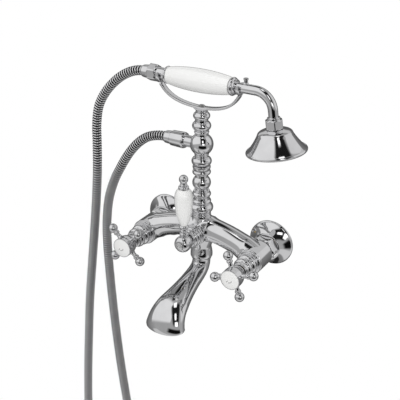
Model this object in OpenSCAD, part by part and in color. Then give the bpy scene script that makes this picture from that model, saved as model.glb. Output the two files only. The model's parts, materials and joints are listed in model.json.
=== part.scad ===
// Wall mounted bath and shower faucet with a telephone-style hand shower.
// The wall is the plane Y = 0, the faucet stands out along -Y, and Z is up.
// The origin is midway between the two inlets, on the face of the wall.

/* [Wall connection] */
// Distance between the hot and cold inlet centres
inlet_spacing = 150; // [140:1:180]
// Outside radius of the half inch thread that goes into the wall
wall_thread_r = 10.48; // [9:0.01:11.5]
// How far the wall thread reaches behind the wall's face
wall_thread_len = 18; // [12:1:30]
// Outside radius of the three quarter inch thread inside the union nut
union_thread_r = 13.2; // [12.8:0.1:14]
// Radius of the waterway through each inlet
inlet_bore_r = 7; // [5:0.5:7.5]
// Radius of the wall flange at the wall
flange_r = 29; // [26:0.5:35]
// Height of the wall flange out from the wall
flange_h = 15; // [13:0.5:17]
// Radius of the wall flange's narrow end
flange_neck_r = 17.6; // [17.2:0.1:20]
// Half of the union nut's width across its flats
nut_flat_r = 14.6; // [14.4:0.1:14.8]

/* [Body] */
// How far the column, the spout and the bridge stand out from the wall
body_reach = 43; // [43:0.5:52]
// Radius of the arched bridge tube
bridge_r = 14.5; // [13:0.5:15]
// Height of the bridge's centre line over the valve axes at its middle
bridge_rise = 21; // [14:1:24]
// Radius of each valve barrel
barrel_r = 16; // [15:0.5:18]
// How far each valve barrel reaches in front of the bridge's centre line
barrel_reach = 18; // [17:0.5:23]
// Radius of the diverter barrel at the front of the body
diverter_barrel_r = 14; // [13:0.5:15]
// Height of the diverter's axis over the valve axes
diverter_z = 17; // [14:1:20]
// Radius of the body's neck over the spout
spout_neck_r = 12.2; // [11.5:0.1:13]
// Radius of the collar that the spout enters
spout_collar_r = 13.8; // [13:0.1:16]

/* [Valves] */
// Radius of the bonnet's large ring
bonnet_r = 13.4; // [12.5:0.1:15]
// Radius of the cartridge housing
cartridge_r = 9; // [8.5:0.1:9.5]
// Radius of the turning spindle
spindle_r = 4.4; // [4:0.1:5]

/* [Cross handles] */
// Distance from the back of the handle's hub to the plane of its four arms
arm_plane = 11.5; // [10:0.5:14]
// Distance from the handle's axis to the middle of each end ball
arm_len = 26.3; // [24:0.1:34]
// Radius of each end ball
ball_r = 5.8; // [5:0.1:7]
// Radius of the porcelain index button
button_r = 11.4; // [10:0.1:12]
// Turn of the hot handle's arms from upright
hot_turn = 47; // [0:1:89]
// Turn of the cold handle's arms from upright
cold_turn = 17.5; // [0:0.5:89]

/* [Diverter] */
// Distance from the column's axis out to the lever's own axis
lever_out = 41; // [40:0.5:46]
// Radius of the domed hub
hub_r = 10.2; // [9.5:0.1:11.5]
// Length of the porcelain lever
lever_len = 47; // [35:1:55]
// Largest radius of the porcelain lever
lever_r = 11; // [8:0.1:12.5]
// Radius of the ball on top of the lever
finial_r = 5.4; // [4.5:0.1:7]

/* [Spout] */
// Distance from the column's axis out to the middle of the mouth
spout_reach = 85.5; // [75:0.5:110]
// Height from the top of the spout down to its mouth
spout_drop = 53.7; // [48:0.1:66]
// Half of the mouth's width
mouth_half_w = 26; // [20:0.5:32]
// Half of the mouth's depth from front to back
mouth_half_d = 14.5; // [11:0.5:18]
// Thickness of the spout's wall
spout_wall = 2.2; // [1.6:0.1:3]
// Radius of the tail that turns in the body
spout_tail_r = 8.6; // [7:0.1:8.8]

/* [Column and cradle] */
// Radius of the outlet ball
outlet_ball_r = 14; // [13:0.1:16]
// Radius of the waterway up the column
column_bore_r = 4.2; // [3:0.1:4.6]
// Width of the cradle's strap from front to back
strap_w = 8.5; // [8:0.5:14]
// Thickness of the cradle's strap
strap_t = 3.2; // [2:0.1:3.6]

/* [Hand shower] */
// Height of the hand shower's axis over the valve axes
handset_z = 206.3; // [204:0.1:212]
// Length of the porcelain grip
grip_len = 82; // [74:1:90]
// Largest radius of the porcelain grip
grip_r = 13.7; // [12:0.1:14.5]
// Radius of the porcelain grip at its ends
grip_end_r = 10; // [9.6:0.1:11]
// Outside radius of the bent neck
neck_r = 5.6; // [5:0.1:6]
// Bend radius of the neck's centre line
neck_bend_r = 22; // [18:1:30]
// Radius of the bell at its rim
bell_r = 35; // [28:0.5:45]
// Tilt of the head away from straight down
head_tilt = 8; // [0:1:15]

/* [Hose] */
// Outside radius of the hose
hose_r = 6; // [5:0.1:6.6]

/* [Hidden] */

// Gap between screwed or pressed pieces that share a body
seat_gap = 0.1;
// Radial gap where one piece turns or slides in another
running_gap = 0.08;
// Gap between pieces that pass each other without touching
clear_gap = 0.4;
tiny = 0.01;

valve_x = inlet_spacing / 2;
round_fn = 64;
small_fn = 32;

// Places along the hand shower's axis
grip_left = -44;
grip_right = grip_left + grip_len;
core_r = 5;
tail_end = grip_left - 21;
tail_body_r = 7.3;
collar_end = grip_right + 8;
bend_x = collar_end + 22.6;
bend_angle = 90 - head_tilt;
neck_drop = 10.5;
head_nut_h = 11;

// ---- helpers -------------------------------------------------------------

// Local Z becomes the distance out from the wall, local Y becomes height.
module forward(x = 0, z = 0) {
    translate([x, 0, z]) rotate([90, 0, 0]) children();
}

// Local Z becomes +X along the hand shower's axis.
module along_handset(x = 0) {
    translate([x, -body_reach, handset_z]) rotate([0, 90, 0]) children();
}

// Local Z is height on the column's axis.
module on_column(z = 0) {
    translate([0, -body_reach, z]) children();
}

// A ring or plain disc from radius a to radius b, between heights z1 and z2.
module tube(a, b, z1, z2, fn = round_fn) {
    translate([0, 0, z1]) difference() {
        cylinder(r = b, h = z2 - z1, $fn = fn);
        if (a > 0)
            translate([0, 0, -1]) cylinder(r = a, h = z2 - z1 + 2, $fn = fn);
    }
}

// Profile pieces for turned shapes: a band from the axis, and a round bead.
module band(z1, z2, r) {
    translate([0, z1]) square([r, z2 - z1]);
}

module bead(z, h, r) {
    translate([r - h / 2, z]) circle(d = h, $fn = round_fn);
}

module turned() {
    rotate_extrude($fn = round_fn) intersection() {
        children();
        translate([0, -500]) square([100, 1000]);
    }
}

// Points on a smooth cubic between two ends, given the two control points.
function bezier(a, b, c, d, t) =
    pow(1 - t, 3) * a + 3 * pow(1 - t, 2) * t * b
    + 3 * (1 - t) * t * t * c + pow(t, 3) * d;
function curve(a, b, c, d, n = 8) =
    [for (i = [0:n]) bezier(a, b, c, d, i / n)];

// ---- wall connection -----------------------------------------------------

washer_start = 20;
washer_t = 2;
tail_flange_t = 2.2;
union_step = 7;
nut_start = 8;
nut_end = 27.4;
tail_r = 9.4;

module inlet_union() {
    color("goldenrod") difference() {
        union() {
            translate([0, 0, -wall_thread_len])
                cylinder(r = wall_thread_r, h = wall_thread_len + tiny, $fn = round_fn);
            cylinder(r = wall_thread_r + 1.2, h = union_step + tiny, $fn = round_fn);
            translate([0, 0, union_step])
                cylinder(r = union_thread_r, h = washer_start - union_step, $fn = round_fn);
        }
        translate([0, 0, -wall_thread_len - 1])
            cylinder(r = inlet_bore_r, h = wall_thread_len + washer_start + 2, $fn = round_fn);
    }
}

function flange_outline(inset) = concat(
    [[flange_r - inset, 0], [flange_r - inset, 2]],
    curve([flange_r - 1.2 - inset, 3.4], [flange_r - 4 - inset, 5.5],
          [flange_neck_r + 4 - inset, 8], [flange_neck_r - inset, flange_h]));

module wall_flange() {
    skirt_r = nut_flat_r + clear_gap;
    color("silver") rotate_extrude($fn = round_fn) difference() {
        polygon(concat([[0, 0]], flange_outline(0), [[0, flange_h]]));
        polygon(concat([[0, -1], [flange_r - 1.9, -1]],
                       [for (p = flange_outline(1.9)) [p[0], min(p[1], flange_h - 2)]],
                       [[0, flange_h - 2]]));
        translate([0, -1]) square([skirt_r, flange_h + 2]);
    }
}

module union_nut() {
    color("silver") difference() {
        union() {
            translate([0, 0, nut_start])
                cylinder(r = nut_flat_r, h = flange_h - nut_start + 1, $fn = round_fn);
            translate([0, 0, flange_h + clear_gap])
                cylinder(r = nut_flat_r / cos(30), h = nut_end - flange_h - clear_gap, $fn = 6);
        }
        translate([0, 0, nut_start - 1])
            cylinder(r = union_thread_r + seat_gap,
                     h = washer_start + washer_t + tail_flange_t - nut_start + 1, $fn = round_fn);
        cylinder(r = tail_r + seat_gap, h = nut_end + 1, $fn = round_fn);
    }
}

module union_washer() {
    color("black")
        tube(inlet_bore_r + 0.5, union_thread_r - 0.6, washer_start, washer_start + washer_t);
}

// ---- mixer body ----------------------------------------------------------

barrel_back = nut_end + 0.6;
barrel_front = body_reach + barrel_reach;
chamber_r = cartridge_r + seat_gap;
disc_back = barrel_front - 23;
chamber_back = disc_back - 2;
bridge_R = (valve_x * valve_x + bridge_rise * bridge_rise) / (2 * bridge_rise);
bridge_angle = asin(valve_x / bridge_R);
bridge_bore_r = 8;
column_foot = bridge_rise + 18;
body_bottom = -22;
socket_r = 9.2;
socket_depth = 11;
diverter_front = body_reach + 19;
diverter_chamber_back = diverter_front - 29;
spout_socket_r = spout_tail_r + running_gap;
spout_socket_top = body_bottom + 17;
spout_screw_turn = 27;
spout_screw_z = body_bottom + 13;
screw_r = 2;
screw_mouth_r = 3.5;

module bridge_arc(r) {
    translate([0, -body_reach, bridge_rise - bridge_R]) rotate([90, 0, 0])
        rotate([0, 0, 90 - bridge_angle])
            rotate_extrude(angle = 2 * bridge_angle, $fn = 180)
                translate([bridge_R, 0]) circle(r = r, $fn = round_fn);
}

module body_centre() {
    on_column() turned() polygon(concat(
        [[0, body_bottom], [spout_neck_r, body_bottom], [spout_neck_r, body_bottom + 2.5]],
        curve([spout_collar_r, body_bottom + 4], [spout_collar_r, body_bottom + 10],
              [spout_neck_r, body_bottom + 12], [spout_neck_r, body_bottom + 16]),
        curve([spout_neck_r, body_bottom + 18], [spout_neck_r + 1, 0],
              [bridge_r + 1, 4], [bridge_r + 1, diverter_z]),
        curve([bridge_r + 1, bridge_rise + 2], [bridge_r, bridge_rise + 10],
              [11.5, column_foot - 4], [11.5, column_foot]),
        [[0, column_foot]]));
}

module barrel_solid(x) {
    forward(x) {
        translate([0, 0, barrel_back])
            cylinder(r = barrel_r, h = barrel_front - barrel_back, $fn = round_fn);
        translate([0, 0, washer_start + washer_t])
            cylinder(r = tail_r, h = barrel_back - washer_start, $fn = round_fn);
        translate([0, 0, washer_start + washer_t])
            cylinder(r = union_thread_r - 0.6, h = tail_flange_t, $fn = round_fn);
    }
}

module barrel_cuts(x) {
    forward(x) {
        translate([0, 0, chamber_back])
            cylinder(r = chamber_r, h = barrel_front, $fn = round_fn);
        cylinder(r = inlet_bore_r, h = barrel_front, $fn = round_fn);
    }
}

module mixer_body() {
    color("silver") difference() {
        union() {
            bridge_arc(bridge_r);
            body_centre();
            barrel_solid(-valve_x);
            barrel_solid(valve_x);
            forward(0, diverter_z) translate([0, 0, body_reach])
                cylinder(r = diverter_barrel_r, h = diverter_front - body_reach, $fn = round_fn);
        }
        barrel_cuts(-valve_x);
        barrel_cuts(valve_x);
        bridge_arc(bridge_bore_r);
        forward(0, diverter_z) translate([0, 0, diverter_chamber_back])
            cylinder(r = chamber_r, h = diverter_front, $fn = round_fn);
        on_column(column_foot - socket_depth)
            cylinder(r = socket_r, h = socket_depth + 1, $fn = round_fn);
        on_column(body_bottom - 1)
            cylinder(r = spout_socket_r, h = spout_socket_top - body_bottom + 1, $fn = round_fn);
        on_column(spout_socket_top - 1)
            cylinder(r = column_bore_r, h = column_foot - spout_socket_top, $fn = round_fn);
        on_column(spout_screw_z) rotate([0, 0, spout_screw_turn]) rotate([90, 0, 0]) {
            cylinder(r = screw_r + seat_gap, h = 20, $fn = small_fn);
            translate([0, 0, spout_neck_r - 0.6])
                cylinder(r1 = screw_r + seat_gap, r2 = screw_mouth_r, h = 2, $fn = small_fn);
        }
    }
}

// ---- valves --------------------------------------------------------------

disc_t = 3;
cartridge_back = disc_back + 2 * disc_t + 0.5;
cartridge_front = barrel_front + 11;
bonnet_front = barrel_front + 23;
handle_back = bonnet_front + 2;
handle_reach = handle_back + arm_plane;
handle_front = handle_reach + 10.1;
button_back = handle_front - 2.6;
screw_seat = handle_back + 12.2;
screw_len = 7.7;
spindle_front = screw_seat - 2.2;

module cartridge_shell(front) {
    color("goldenrod") difference() {
        union() {
            translate([0, 0, disc_back])
                cylinder(r = cartridge_r, h = barrel_front + 4 - disc_back, $fn = round_fn);
            translate([0, 0, barrel_front - 1])
                cylinder(r = cartridge_r - 2, h = front - barrel_front + 1, $fn = round_fn);
        }
        translate([0, 0, disc_back - 1])
            cylinder(r = cartridge_r - 1.2, h = cartridge_back - disc_back + 1, $fn = round_fn);
        cylinder(r = spindle_r + running_gap, h = front + 1, $fn = round_fn);
    }
}

// A ceramic disc with two quarter ports.
module ceramic_disc(back, turn) {
    color("white") difference() {
        translate([0, 0, back])
            cylinder(r = cartridge_r - 1.4, h = disc_t, $fn = round_fn);
        for (side = [0, 180])
            rotate([0, 0, turn + side]) translate([3.9, 0, back - 1])
                cylinder(r = 2.1, h = disc_t + 2, $fn = small_fn);
    }
}

module fixed_disc() {
    ceramic_disc(disc_back, 0);
}

module turning_disc() {
    ceramic_disc(disc_back + disc_t + 0.05, 90);
}

module valve_spindle() {
    back = disc_back + 2 * disc_t + 0.1;
    color("goldenrod") difference() {
        translate([0, 0, back])
            cylinder(r = spindle_r, h = spindle_front - back, $fn = round_fn);
        translate([0, 0, screw_seat - screw_len - 0.5])
            cylinder(r = screw_r + seat_gap, h = 20, $fn = small_fn);
    }
}

module bonnet(front, r) {
    inner = cartridge_r + clear_gap;
    color("silver") turned() difference() {
        union() {
            band(barrel_front + 0.2, barrel_front + 3.6, r);
            bead(barrel_front + 6.2, 7, r - 0.2);
            band(barrel_front + 3, front - 1, r - 3.4);
            bead(barrel_front + 14.6, 7.4, r - 1.2);
            band(front - 5, front, r - 4.6);
        }
        band(barrel_front, barrel_front + 5, inner);
        band(barrel_front, front - 2.6, cartridge_r - 1.6);
        band(barrel_front, front + 1, spindle_r + 0.6);
    }
}

// ---- cross handles -------------------------------------------------------

hub_back_r = 8.6;
screw_head_r = 3.6;
screw_head_t = 2.6;

module handle_arm() {
    rotate([0, 90, 0]) turned() {
        polygon(concat(
            [[0, 0], [4.6, 0]],
            curve([4.6, 8], [3.6, 13], [2.5, 14], [2.4, 17]),
            [[2.9, arm_len - ball_r - 1.2], [2.9, arm_len], [0, arm_len]]));
        bead(arm_len - ball_r - 1.2, 2, 4);
    }
    translate([arm_len, 0, 0]) sphere(r = ball_r, $fn = round_fn);
}

module handle_hub() {
    turned() polygon(concat(
        [[0, handle_back], [hub_back_r, handle_back]],
        curve([hub_back_r, handle_back + 1], [9, handle_reach - 7],
              [12.2, handle_reach - 5], [12.4, handle_reach + 1]),
        curve([12.4, handle_reach + 4], [12.2, handle_front - 4],
              [button_r + 0.9, handle_front - 2], [button_r + 0.9, handle_front]),
        [[0, handle_front]]));
}

module cross_handle(turn) {
    color("silver") difference() {
        union() {
            handle_hub();
            for (k = [0:3])
                rotate([0, 0, 90 + turn + 90 * k]) translate([0, 0, handle_reach])
                    handle_arm();
        }
        translate([0, 0, button_back])
            cylinder(r = button_r + seat_gap, h = 10, $fn = round_fn);
        translate([0, 0, screw_seat])
            cylinder(r = screw_head_r + seat_gap, h = 10, $fn = small_fn);
        cylinder(r = screw_r + seat_gap, h = handle_front, $fn = small_fn);
        translate([0, 0, handle_back - 1])
            cylinder(r = spindle_r + seat_gap, h = spindle_front + seat_gap - handle_back + 1,
                     $fn = round_fn);
    }
}

// A slotted screw whose head's underside is at z.
module slotted_screw(z) {
    color("goldenrod") difference() {
        union() {
            translate([0, 0, z - screw_len])
                cylinder(r = screw_r, h = screw_len + 1, $fn = small_fn);
            translate([0, 0, z])
                cylinder(r = screw_head_r, h = screw_head_t, $fn = small_fn);
        }
        translate([0, 0, z + screw_head_t]) cube([0.9, 2 * screw_head_r + 1, 2], center = true);
    }
}

module handle_screw() {
    slotted_screw(screw_seat + seat_gap);
}

module index_button() {
    color("ivory") turned() {
        band(button_back, handle_front + 0.2, button_r);
        intersection() {
            translate([0, handle_front + 1.5 - 46]) circle(r = 46, $fn = 180);
            band(handle_front, handle_front + 3, button_r);
        }
    }
}

// ---- diverter ------------------------------------------------------------

lever_reach = body_reach + lever_out;
diverter_bonnet_front = diverter_front + 13;
hub_back = diverter_bonnet_front + 1;
hub_front = lever_reach + 10.5;
hub_screw_seat = lever_reach + 4;
hub_cap_seat = hub_front - 2.1;
cap_front = hub_front + 2.1;
cap_r = 4.9;
cap_plug_r = 4;
port_disc_back = diverter_chamber_back + 2;
port_disc_t = 4;
rod_r = 2.6;
rod_bottom = diverter_z + 5.7;
hub_top = diverter_z + 10.4;
ferrule_top = hub_top + 13.6;
lever_bottom = ferrule_top;
lever_top = lever_bottom + lever_len;

module diverter_cartridge_shape() {
    color("goldenrod") difference() {
        union() {
            translate([0, 0, port_disc_back + port_disc_t])
                cylinder(r = cartridge_r, h = diverter_front - port_disc_back, $fn = round_fn);
            translate([0, 0, diverter_front - 1])
                cylinder(r = cartridge_r - 2, h = 9, $fn = round_fn);
        }
        translate([0, 0, port_disc_back])
            cylinder(r = cartridge_r - 1.2, h = 2 * port_disc_t, $fn = round_fn);
        cylinder(r = spindle_r + running_gap, h = lever_reach, $fn = round_fn);
    }
}

module diverter_spindle_shape() {
    color("goldenrod") difference() {
        union() {
            translate([0, 0, port_disc_back])
                cylinder(r = cartridge_r - 1.4, h = 2 * port_disc_t - 0.2, $fn = round_fn);
            translate([0, 0, port_disc_back + 2])
                cylinder(r = spindle_r, h = lever_reach - port_disc_back, $fn = round_fn);
        }
        translate([0, 3.9, port_disc_back - 1])
            cylinder(r = 2.2, h = port_disc_t + 1, $fn = small_fn);
        translate([0, 0, hub_screw_seat - screw_len - 0.5])
            cylinder(r = screw_r + seat_gap, h = 20, $fn = small_fn);
    }
}

module diverter_bonnet_shape() {
    inner = cartridge_r + clear_gap;
    front = diverter_bonnet_front;
    color("silver") turned() difference() {
        union() {
            band(diverter_front + 0.2, diverter_front + 3.4, diverter_barrel_r - 1);
            bead(diverter_front + 4.6, 4.6, diverter_barrel_r - 1.6);
            band(diverter_front + 2, front, diverter_barrel_r - 4.4);
            bead(diverter_front + 9.2, 4.6, diverter_barrel_r - 2.6);
        }
        band(diverter_front, diverter_front + 5, inner);
        band(diverter_front, front - 2.4, cartridge_r - 1.6);
        band(diverter_front, front + 1, spindle_r + 0.6);
    }
}

module diverter_hub_shape() {
    color("silver") difference() {
        union() {
            turned() polygon(concat(
                [[0, hub_back], [7, hub_back]],
                curve([7.2, hub_back + 0.8], [9, hub_back + 1.6],
                      [hub_r, lever_reach - 3.6], [hub_r, lever_reach]),
                curve([hub_r, lever_reach + 4.4], [hub_r - 1, hub_front - 1.9],
                      [cap_r + 2.1, hub_front - 0.2], [cap_r + 0.4, hub_front]),
                [[0, hub_front]]));
            translate([0, 0, lever_reach]) rotate([-90, 0, 0])
                cylinder(r = 5.2, h = hub_top - diverter_z, $fn = round_fn);
        }
        translate([0, 0, hub_back - 1])
            cylinder(r = spindle_r + seat_gap, h = lever_reach + 2 + seat_gap - hub_back + 1,
                     $fn = round_fn);
        cylinder(r = screw_r + seat_gap, h = hub_front, $fn = small_fn);
        translate([0, 0, hub_screw_seat])
            cylinder(r = screw_head_r + seat_gap, h = 10, $fn = small_fn);
        translate([0, 0, hub_cap_seat])
            cylinder(r = cap_plug_r + seat_gap, h = 10, $fn = small_fn);
        translate([0, 0, lever_reach]) rotate([-90, 0, 0])
            translate([0, 0, rod_bottom - seat_gap - diverter_z])
                cylinder(r = rod_r + seat_gap, h = 20, $fn = small_fn);
    }
}

module diverter_screw_shape() {
    slotted_screw(hub_screw_seat + seat_gap);
}

module diverter_cap_shape() {
    color("silver") {
        translate([0, 0, hub_cap_seat + seat_gap])
            cylinder(r = cap_plug_r, h = hub_front - hub_cap_seat, $fn = small_fn);
        turned() intersection() {
            translate([0, cap_front - 14]) circle(r = 14, $fn = 120);
            band(hub_front, cap_front + 1, cap_r);
        }
    }
}

module lever_place() {
    translate([0, -lever_reach, 0]) children();
}

module lever_rod() {
    color("goldenrod") lever_place() translate([0, 0, rod_bottom])
        cylinder(r = rod_r, h = lever_top + 7 - rod_bottom, $fn = small_fn);
}

module lever_ferrule() {
    color("silver") lever_place() turned() difference() {
        union() {
            band(hub_top, ferrule_top - 1, 3.9);
            bead(hub_top + 2.2, 3.4, 5.4);
            bead(hub_top + 6.4, 2.4, 4.8);
            bead(ferrule_top - 2.2, 4.4, 6);
        }
        band(hub_top - 1, ferrule_top + 1, rod_r + seat_gap);
    }
}

module lever_porcelain() {
    color("ivory") lever_place() turned() difference() {
        polygon(concat(
            [[0, lever_bottom], [4.4, lever_bottom]],
            curve([4.4, lever_bottom + 0.6], [lever_r * 0.8, lever_bottom + 9],
                  [lever_r * 0.98, lever_bottom + 20], [lever_r, lever_bottom + 33], 10),
            curve([lever_r, lever_top - 12], [lever_r, lever_top - 5],
                  [lever_r * 0.78, lever_top - 1.5], [6, lever_top - 0.2], 8),
            [[0, lever_top - 0.2]]));
        band(lever_bottom - 1, lever_top + 1, rod_r + seat_gap);
    }
}

module lever_finial() {
    color("silver") lever_place() difference() {
        union() {
            turned() {
                band(lever_top, lever_top + 1.2, 6.2);
                bead(lever_top + 2, 3.2, 6.2);
                band(lever_top, lever_top + 9, 3.6);
                bead(lever_top + 5.2, 2, 4.4);
            }
            translate([0, 0, lever_top + 12.2 - 0.4]) sphere(r = finial_r, $fn = round_fn);
        }
        translate([0, 0, lever_top - 1])
            cylinder(r = rod_r + seat_gap, h = 8.5, $fn = small_fn);
    }
}

// ---- spout ---------------------------------------------------------------

spout_top = body_bottom - 0.3;
spout_top_r = spout_neck_r - 1;
mouth_tilt = 10;
spout_sections = 22;
spout_sides = 36;
spout_tail_top = spout_socket_top - 1;
seal_places = [body_bottom + 4, body_bottom + 8];

// The spout's centre line, as distance in front of the column axis and height.
function along_spout(out, down) = [spout_reach * out, spout_top - spout_drop * down];
function spout_path(t) =
    t < 0.3
        ? bezier(along_spout(0, 0), along_spout(0, 0.242), along_spout(0.13, 0.292),
                 along_spout(0.31, 0.376), t / 0.3)
        : t < 0.75
        ? bezier(along_spout(0.31, 0.376), along_spout(0.46, 0.451),
                 along_spout(0.62, 0.516), along_spout(0.76, 0.59), (t - 0.3) / 0.45)
        : bezier(along_spout(0.76, 0.59), along_spout(0.88, 0.656),
                 along_spout(0.97, 0.758), along_spout(1, 1), (t - 0.75) / 0.25);
function spout_heading(t) =
    let (a = spout_path(max(0, t - 0.01)), b = spout_path(min(1, t + 0.01)))
    t < 0.01 ? [0, -1]
    : t > 0.99 ? [sin(-mouth_tilt), -cos(mouth_tilt)]
    : (b - a) / norm(b - a);
// Half width and half depth of the section at t.
function spout_half_w(t) = spout_top_r + (mouth_half_w - spout_top_r) * pow(t, 2);
function spout_half_d(t) = spout_top_r + (mouth_half_d - spout_top_r) * pow(t, 2.4);
function spout_ring(t, inset) =
    let (p = spout_path(t), h = spout_heading(t),
         w = spout_half_w(t) - inset, d = spout_half_d(t) - inset)
    [for (k = [0:spout_sides - 1])
        let (a = 360 * k / spout_sides, s = d * sin(a))
        [-w * cos(a), -body_reach - p[0] + s * h[1], p[1] + s * h[0]]];

// A closed skin through a list of rings, each with the same number of points.
module loft(rings) {
    n = len(rings[0]);
    last = len(rings) - 1;
    polyhedron(
        points = [for (ring = rings) each ring],
        faces = concat(
            [[for (k = [n - 1:-1:0]) k]],
            [for (i = [0:last - 1], k = [0:n - 1])
                each [[i * n + k, i * n + (k + 1) % n, (i + 1) * n + (k + 1) % n],
                      [i * n + k, (i + 1) * n + (k + 1) % n, (i + 1) * n + k]]],
            [[for (k = [0:n - 1]) last * n + k]]),
        convexity = 6);
}

module spout_skin(inset, from, to) {
    loft([for (i = [0:spout_sections])
        spout_ring(from + (to - from) * i / spout_sections, inset)]);
}

module spout() {
    color("silver") {
        difference() {
            spout_skin(0, 0, 1);
            spout_skin(spout_wall, 0.04, 1.002);
            on_column(spout_top - 12)
                cylinder(r = 5.6, h = 14, $fn = small_fn);
        }
        on_column() difference() {
            tube(5.6, spout_tail_r, spout_top - tiny, spout_tail_top);
            for (z = seal_places)
                tube(spout_tail_r - 1.2, spout_tail_r + 1, z, z + 2.2);
            tube(spout_tail_r - 1.2, spout_tail_r + 1, spout_screw_z - 1.6, spout_screw_z + 1.6);
        }
    }
}

module spout_seals() {
    color("black") on_column() for (z = seal_places)
        tube(spout_tail_r - 1.1, spout_tail_r + running_gap / 2, z + 0.1, z + 2.1);
}

// A grub screw whose thin point runs in the groove round the spout's tail.
module spout_screw() {
    point_start = spout_tail_r - 0.6;
    start = spout_socket_r + clear_gap;
    color("silver") on_column(spout_screw_z) rotate([0, 0, spout_screw_turn])
        rotate([90, 0, 0]) difference() {
            union() {
                translate([0, 0, point_start])
                    cylinder(r = screw_r - 0.9, h = 2, $fn = small_fn);
                translate([0, 0, start])
                    cylinder(r = screw_r, h = spout_neck_r - start - 0.8, $fn = small_fn);
            }
            translate([0, 0, spout_neck_r - 2.2])
                cylinder(r = 1.1, h = 4, $fn = 6);
        }
}

// ---- column --------------------------------------------------------------

base_top = column_foot + 31.6;
stem_top = base_top + 45.4;
ball_z = stem_top + outlet_ball_r - 0.5;
ball_top = ball_z + outlet_ball_r + 2.9;
column_head = handset_z - 36.9;
outlet_end = outlet_ball_r + 14;
outlet_nut_back = outlet_end - 6.1;
outlet_neck_r = 7;

module spigot(z, r, depth) {
    band(z - depth, z + tiny, r);
}

module column_base() {
    color("silver") on_column() turned() difference() {
        union() {
            spigot(column_foot, socket_r - seat_gap, socket_depth - 0.5);
            band(column_foot, base_top, 9.8);
            band(column_foot + 0.2, column_foot + 2.4, 11.4);
            bead(column_foot + 9, 12.4, 14.2);
            bead(column_foot + 17.6, 4.8, 11.6);
            bead(column_foot + 26.8, 7, 11.4);
        }
        band(0, base_top + 1, column_bore_r);
        band(base_top - 9, base_top + 1, 6.2);
    }
}

module column_stem() {
    color("silver") on_column() turned() difference() {
        union() {
            spigot(base_top, 6.2 - seat_gap, 8.5);
            band(base_top, stem_top, 7.8);
            intersection() {
                bead(base_top + 10, 19, 11.2);
                band(base_top, base_top + 21.4, 20);
            }
            bead(base_top + 23.8, 6.4, 11.1);
            band(base_top + 28.4, base_top + 32.4, 10.6);
            bead(base_top + 30.4, 4, 10.9);
            bead(base_top + 37.8, 11, 12.1);
        }
        band(0, stem_top + 1, column_bore_r);
        band(stem_top - 8, stem_top + 1, 6.2);
    }
}

module outlet_nipple(r, from, to, fn = round_fn) {
    translate([0, 0, ball_z]) rotate([0, -90, 0])
        translate([0, 0, from]) cylinder(r = r, h = to - from, $fn = fn);
}

module outlet_ball() {
    color("silver") on_column() difference() {
        union() {
            turned() {
                spigot(stem_top, 6.2 - seat_gap, 7.5);
                band(stem_top, ball_top, 8.2);
                bead(ball_top - 1.4, 2.6, 9);
                bead(stem_top + 1.4, 2.6, 8.8);
            }
            translate([0, 0, ball_z]) sphere(r = outlet_ball_r, $fn = round_fn);
            outlet_nipple(outlet_neck_r, 10, outlet_nut_back + 1);
            outlet_nipple(fitting_thread_r, outlet_nut_back, outlet_end);
        }
        translate([0, 0, stem_top - 9])
            cylinder(r = column_bore_r, h = ball_z - stem_top + 9, $fn = round_fn);
        outlet_nipple(column_bore_r, 0, 50);
        outlet_nipple(5.4 + seat_gap, 16, 50);
        translate([0, 0, ball_top - 8])
            cylinder(r = 5 + seat_gap, h = 20, $fn = round_fn);
    }
}

module check_valve() {
    color("white") on_column() difference() {
        outlet_nipple(5.4, 16.2, outlet_end);
        outlet_nipple(3.4, 18, 40);
        outlet_nipple(2, 10, 40);
    }
}

module column_top() {
    color("silver") on_column() turned() difference() {
        union() {
            spigot(ball_top, 5, 7.5);
            band(ball_top, column_head, 7.8);
            bead(ball_top + 6.2, 11, 11.2);
            bead(column_head - 4.6, 8.4, 10);
        }
        band(column_head - 13, column_head + 1, 2.6);
        band(column_head - 4, column_head + 1, 5 + seat_gap);
    }
}

// ---- cradle --------------------------------------------------------------

pedestal_top = column_head + 5.1;
fork_t = 5;
fork_wall = 2.4;
prong_h = 4;
left_fork_x = 10.5 - grip_left;
right_fork_x = collar_end + 3.5;
left_fork_r = tail_body_r + clear_gap + 0.2;
right_fork_r = neck_r + clear_gap + 0.1;

// Height of the strap's underside at distance x from the column.
function strap_z(x) =
    let (end = x < 0 ? left_fork_x : right_fork_x,
         fork_r = x < 0 ? left_fork_r : right_fork_r,
         sag = 11.5 * pow(x / end, 2),
         end_z = handset_z - fork_r - fork_wall / 2 - strap_t)
    pedestal_top - 1.4 + sag + (end_z - pedestal_top + 1.4 - 11.5) * pow(x / end, 6);

module strap() {
    n = 20;
    under = [for (i = [-n:n])
        let (x = (i < 0 ? left_fork_x : right_fork_x) * i / n) [x, strap_z(x)]];
    over = [for (i = [n:-1:-n])
        let (x = (i < 0 ? left_fork_x : right_fork_x) * i / n) [x * 0.985, strap_z(x) + strap_t]];
    translate([0, strap_w / 2, 0]) rotate([90, 0, 0])
        linear_extrude(strap_w) polygon(concat(under, over));
}

// A saddle under the hand shower's axis with straight prongs, open at the top.
module fork(x, inner) {
    translate([x - fork_t / 2, 0, handset_z]) rotate([90, 0, 90])
        linear_extrude(fork_t) difference() {
            union() {
                circle(r = inner + fork_wall, $fn = round_fn);
                translate([-inner - fork_wall, 0]) square([2 * (inner + fork_wall), prong_h]);
            }
            circle(r = inner, $fn = round_fn);
            translate([-inner, 0]) square([2 * inner, 20]);
        }
}

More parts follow.
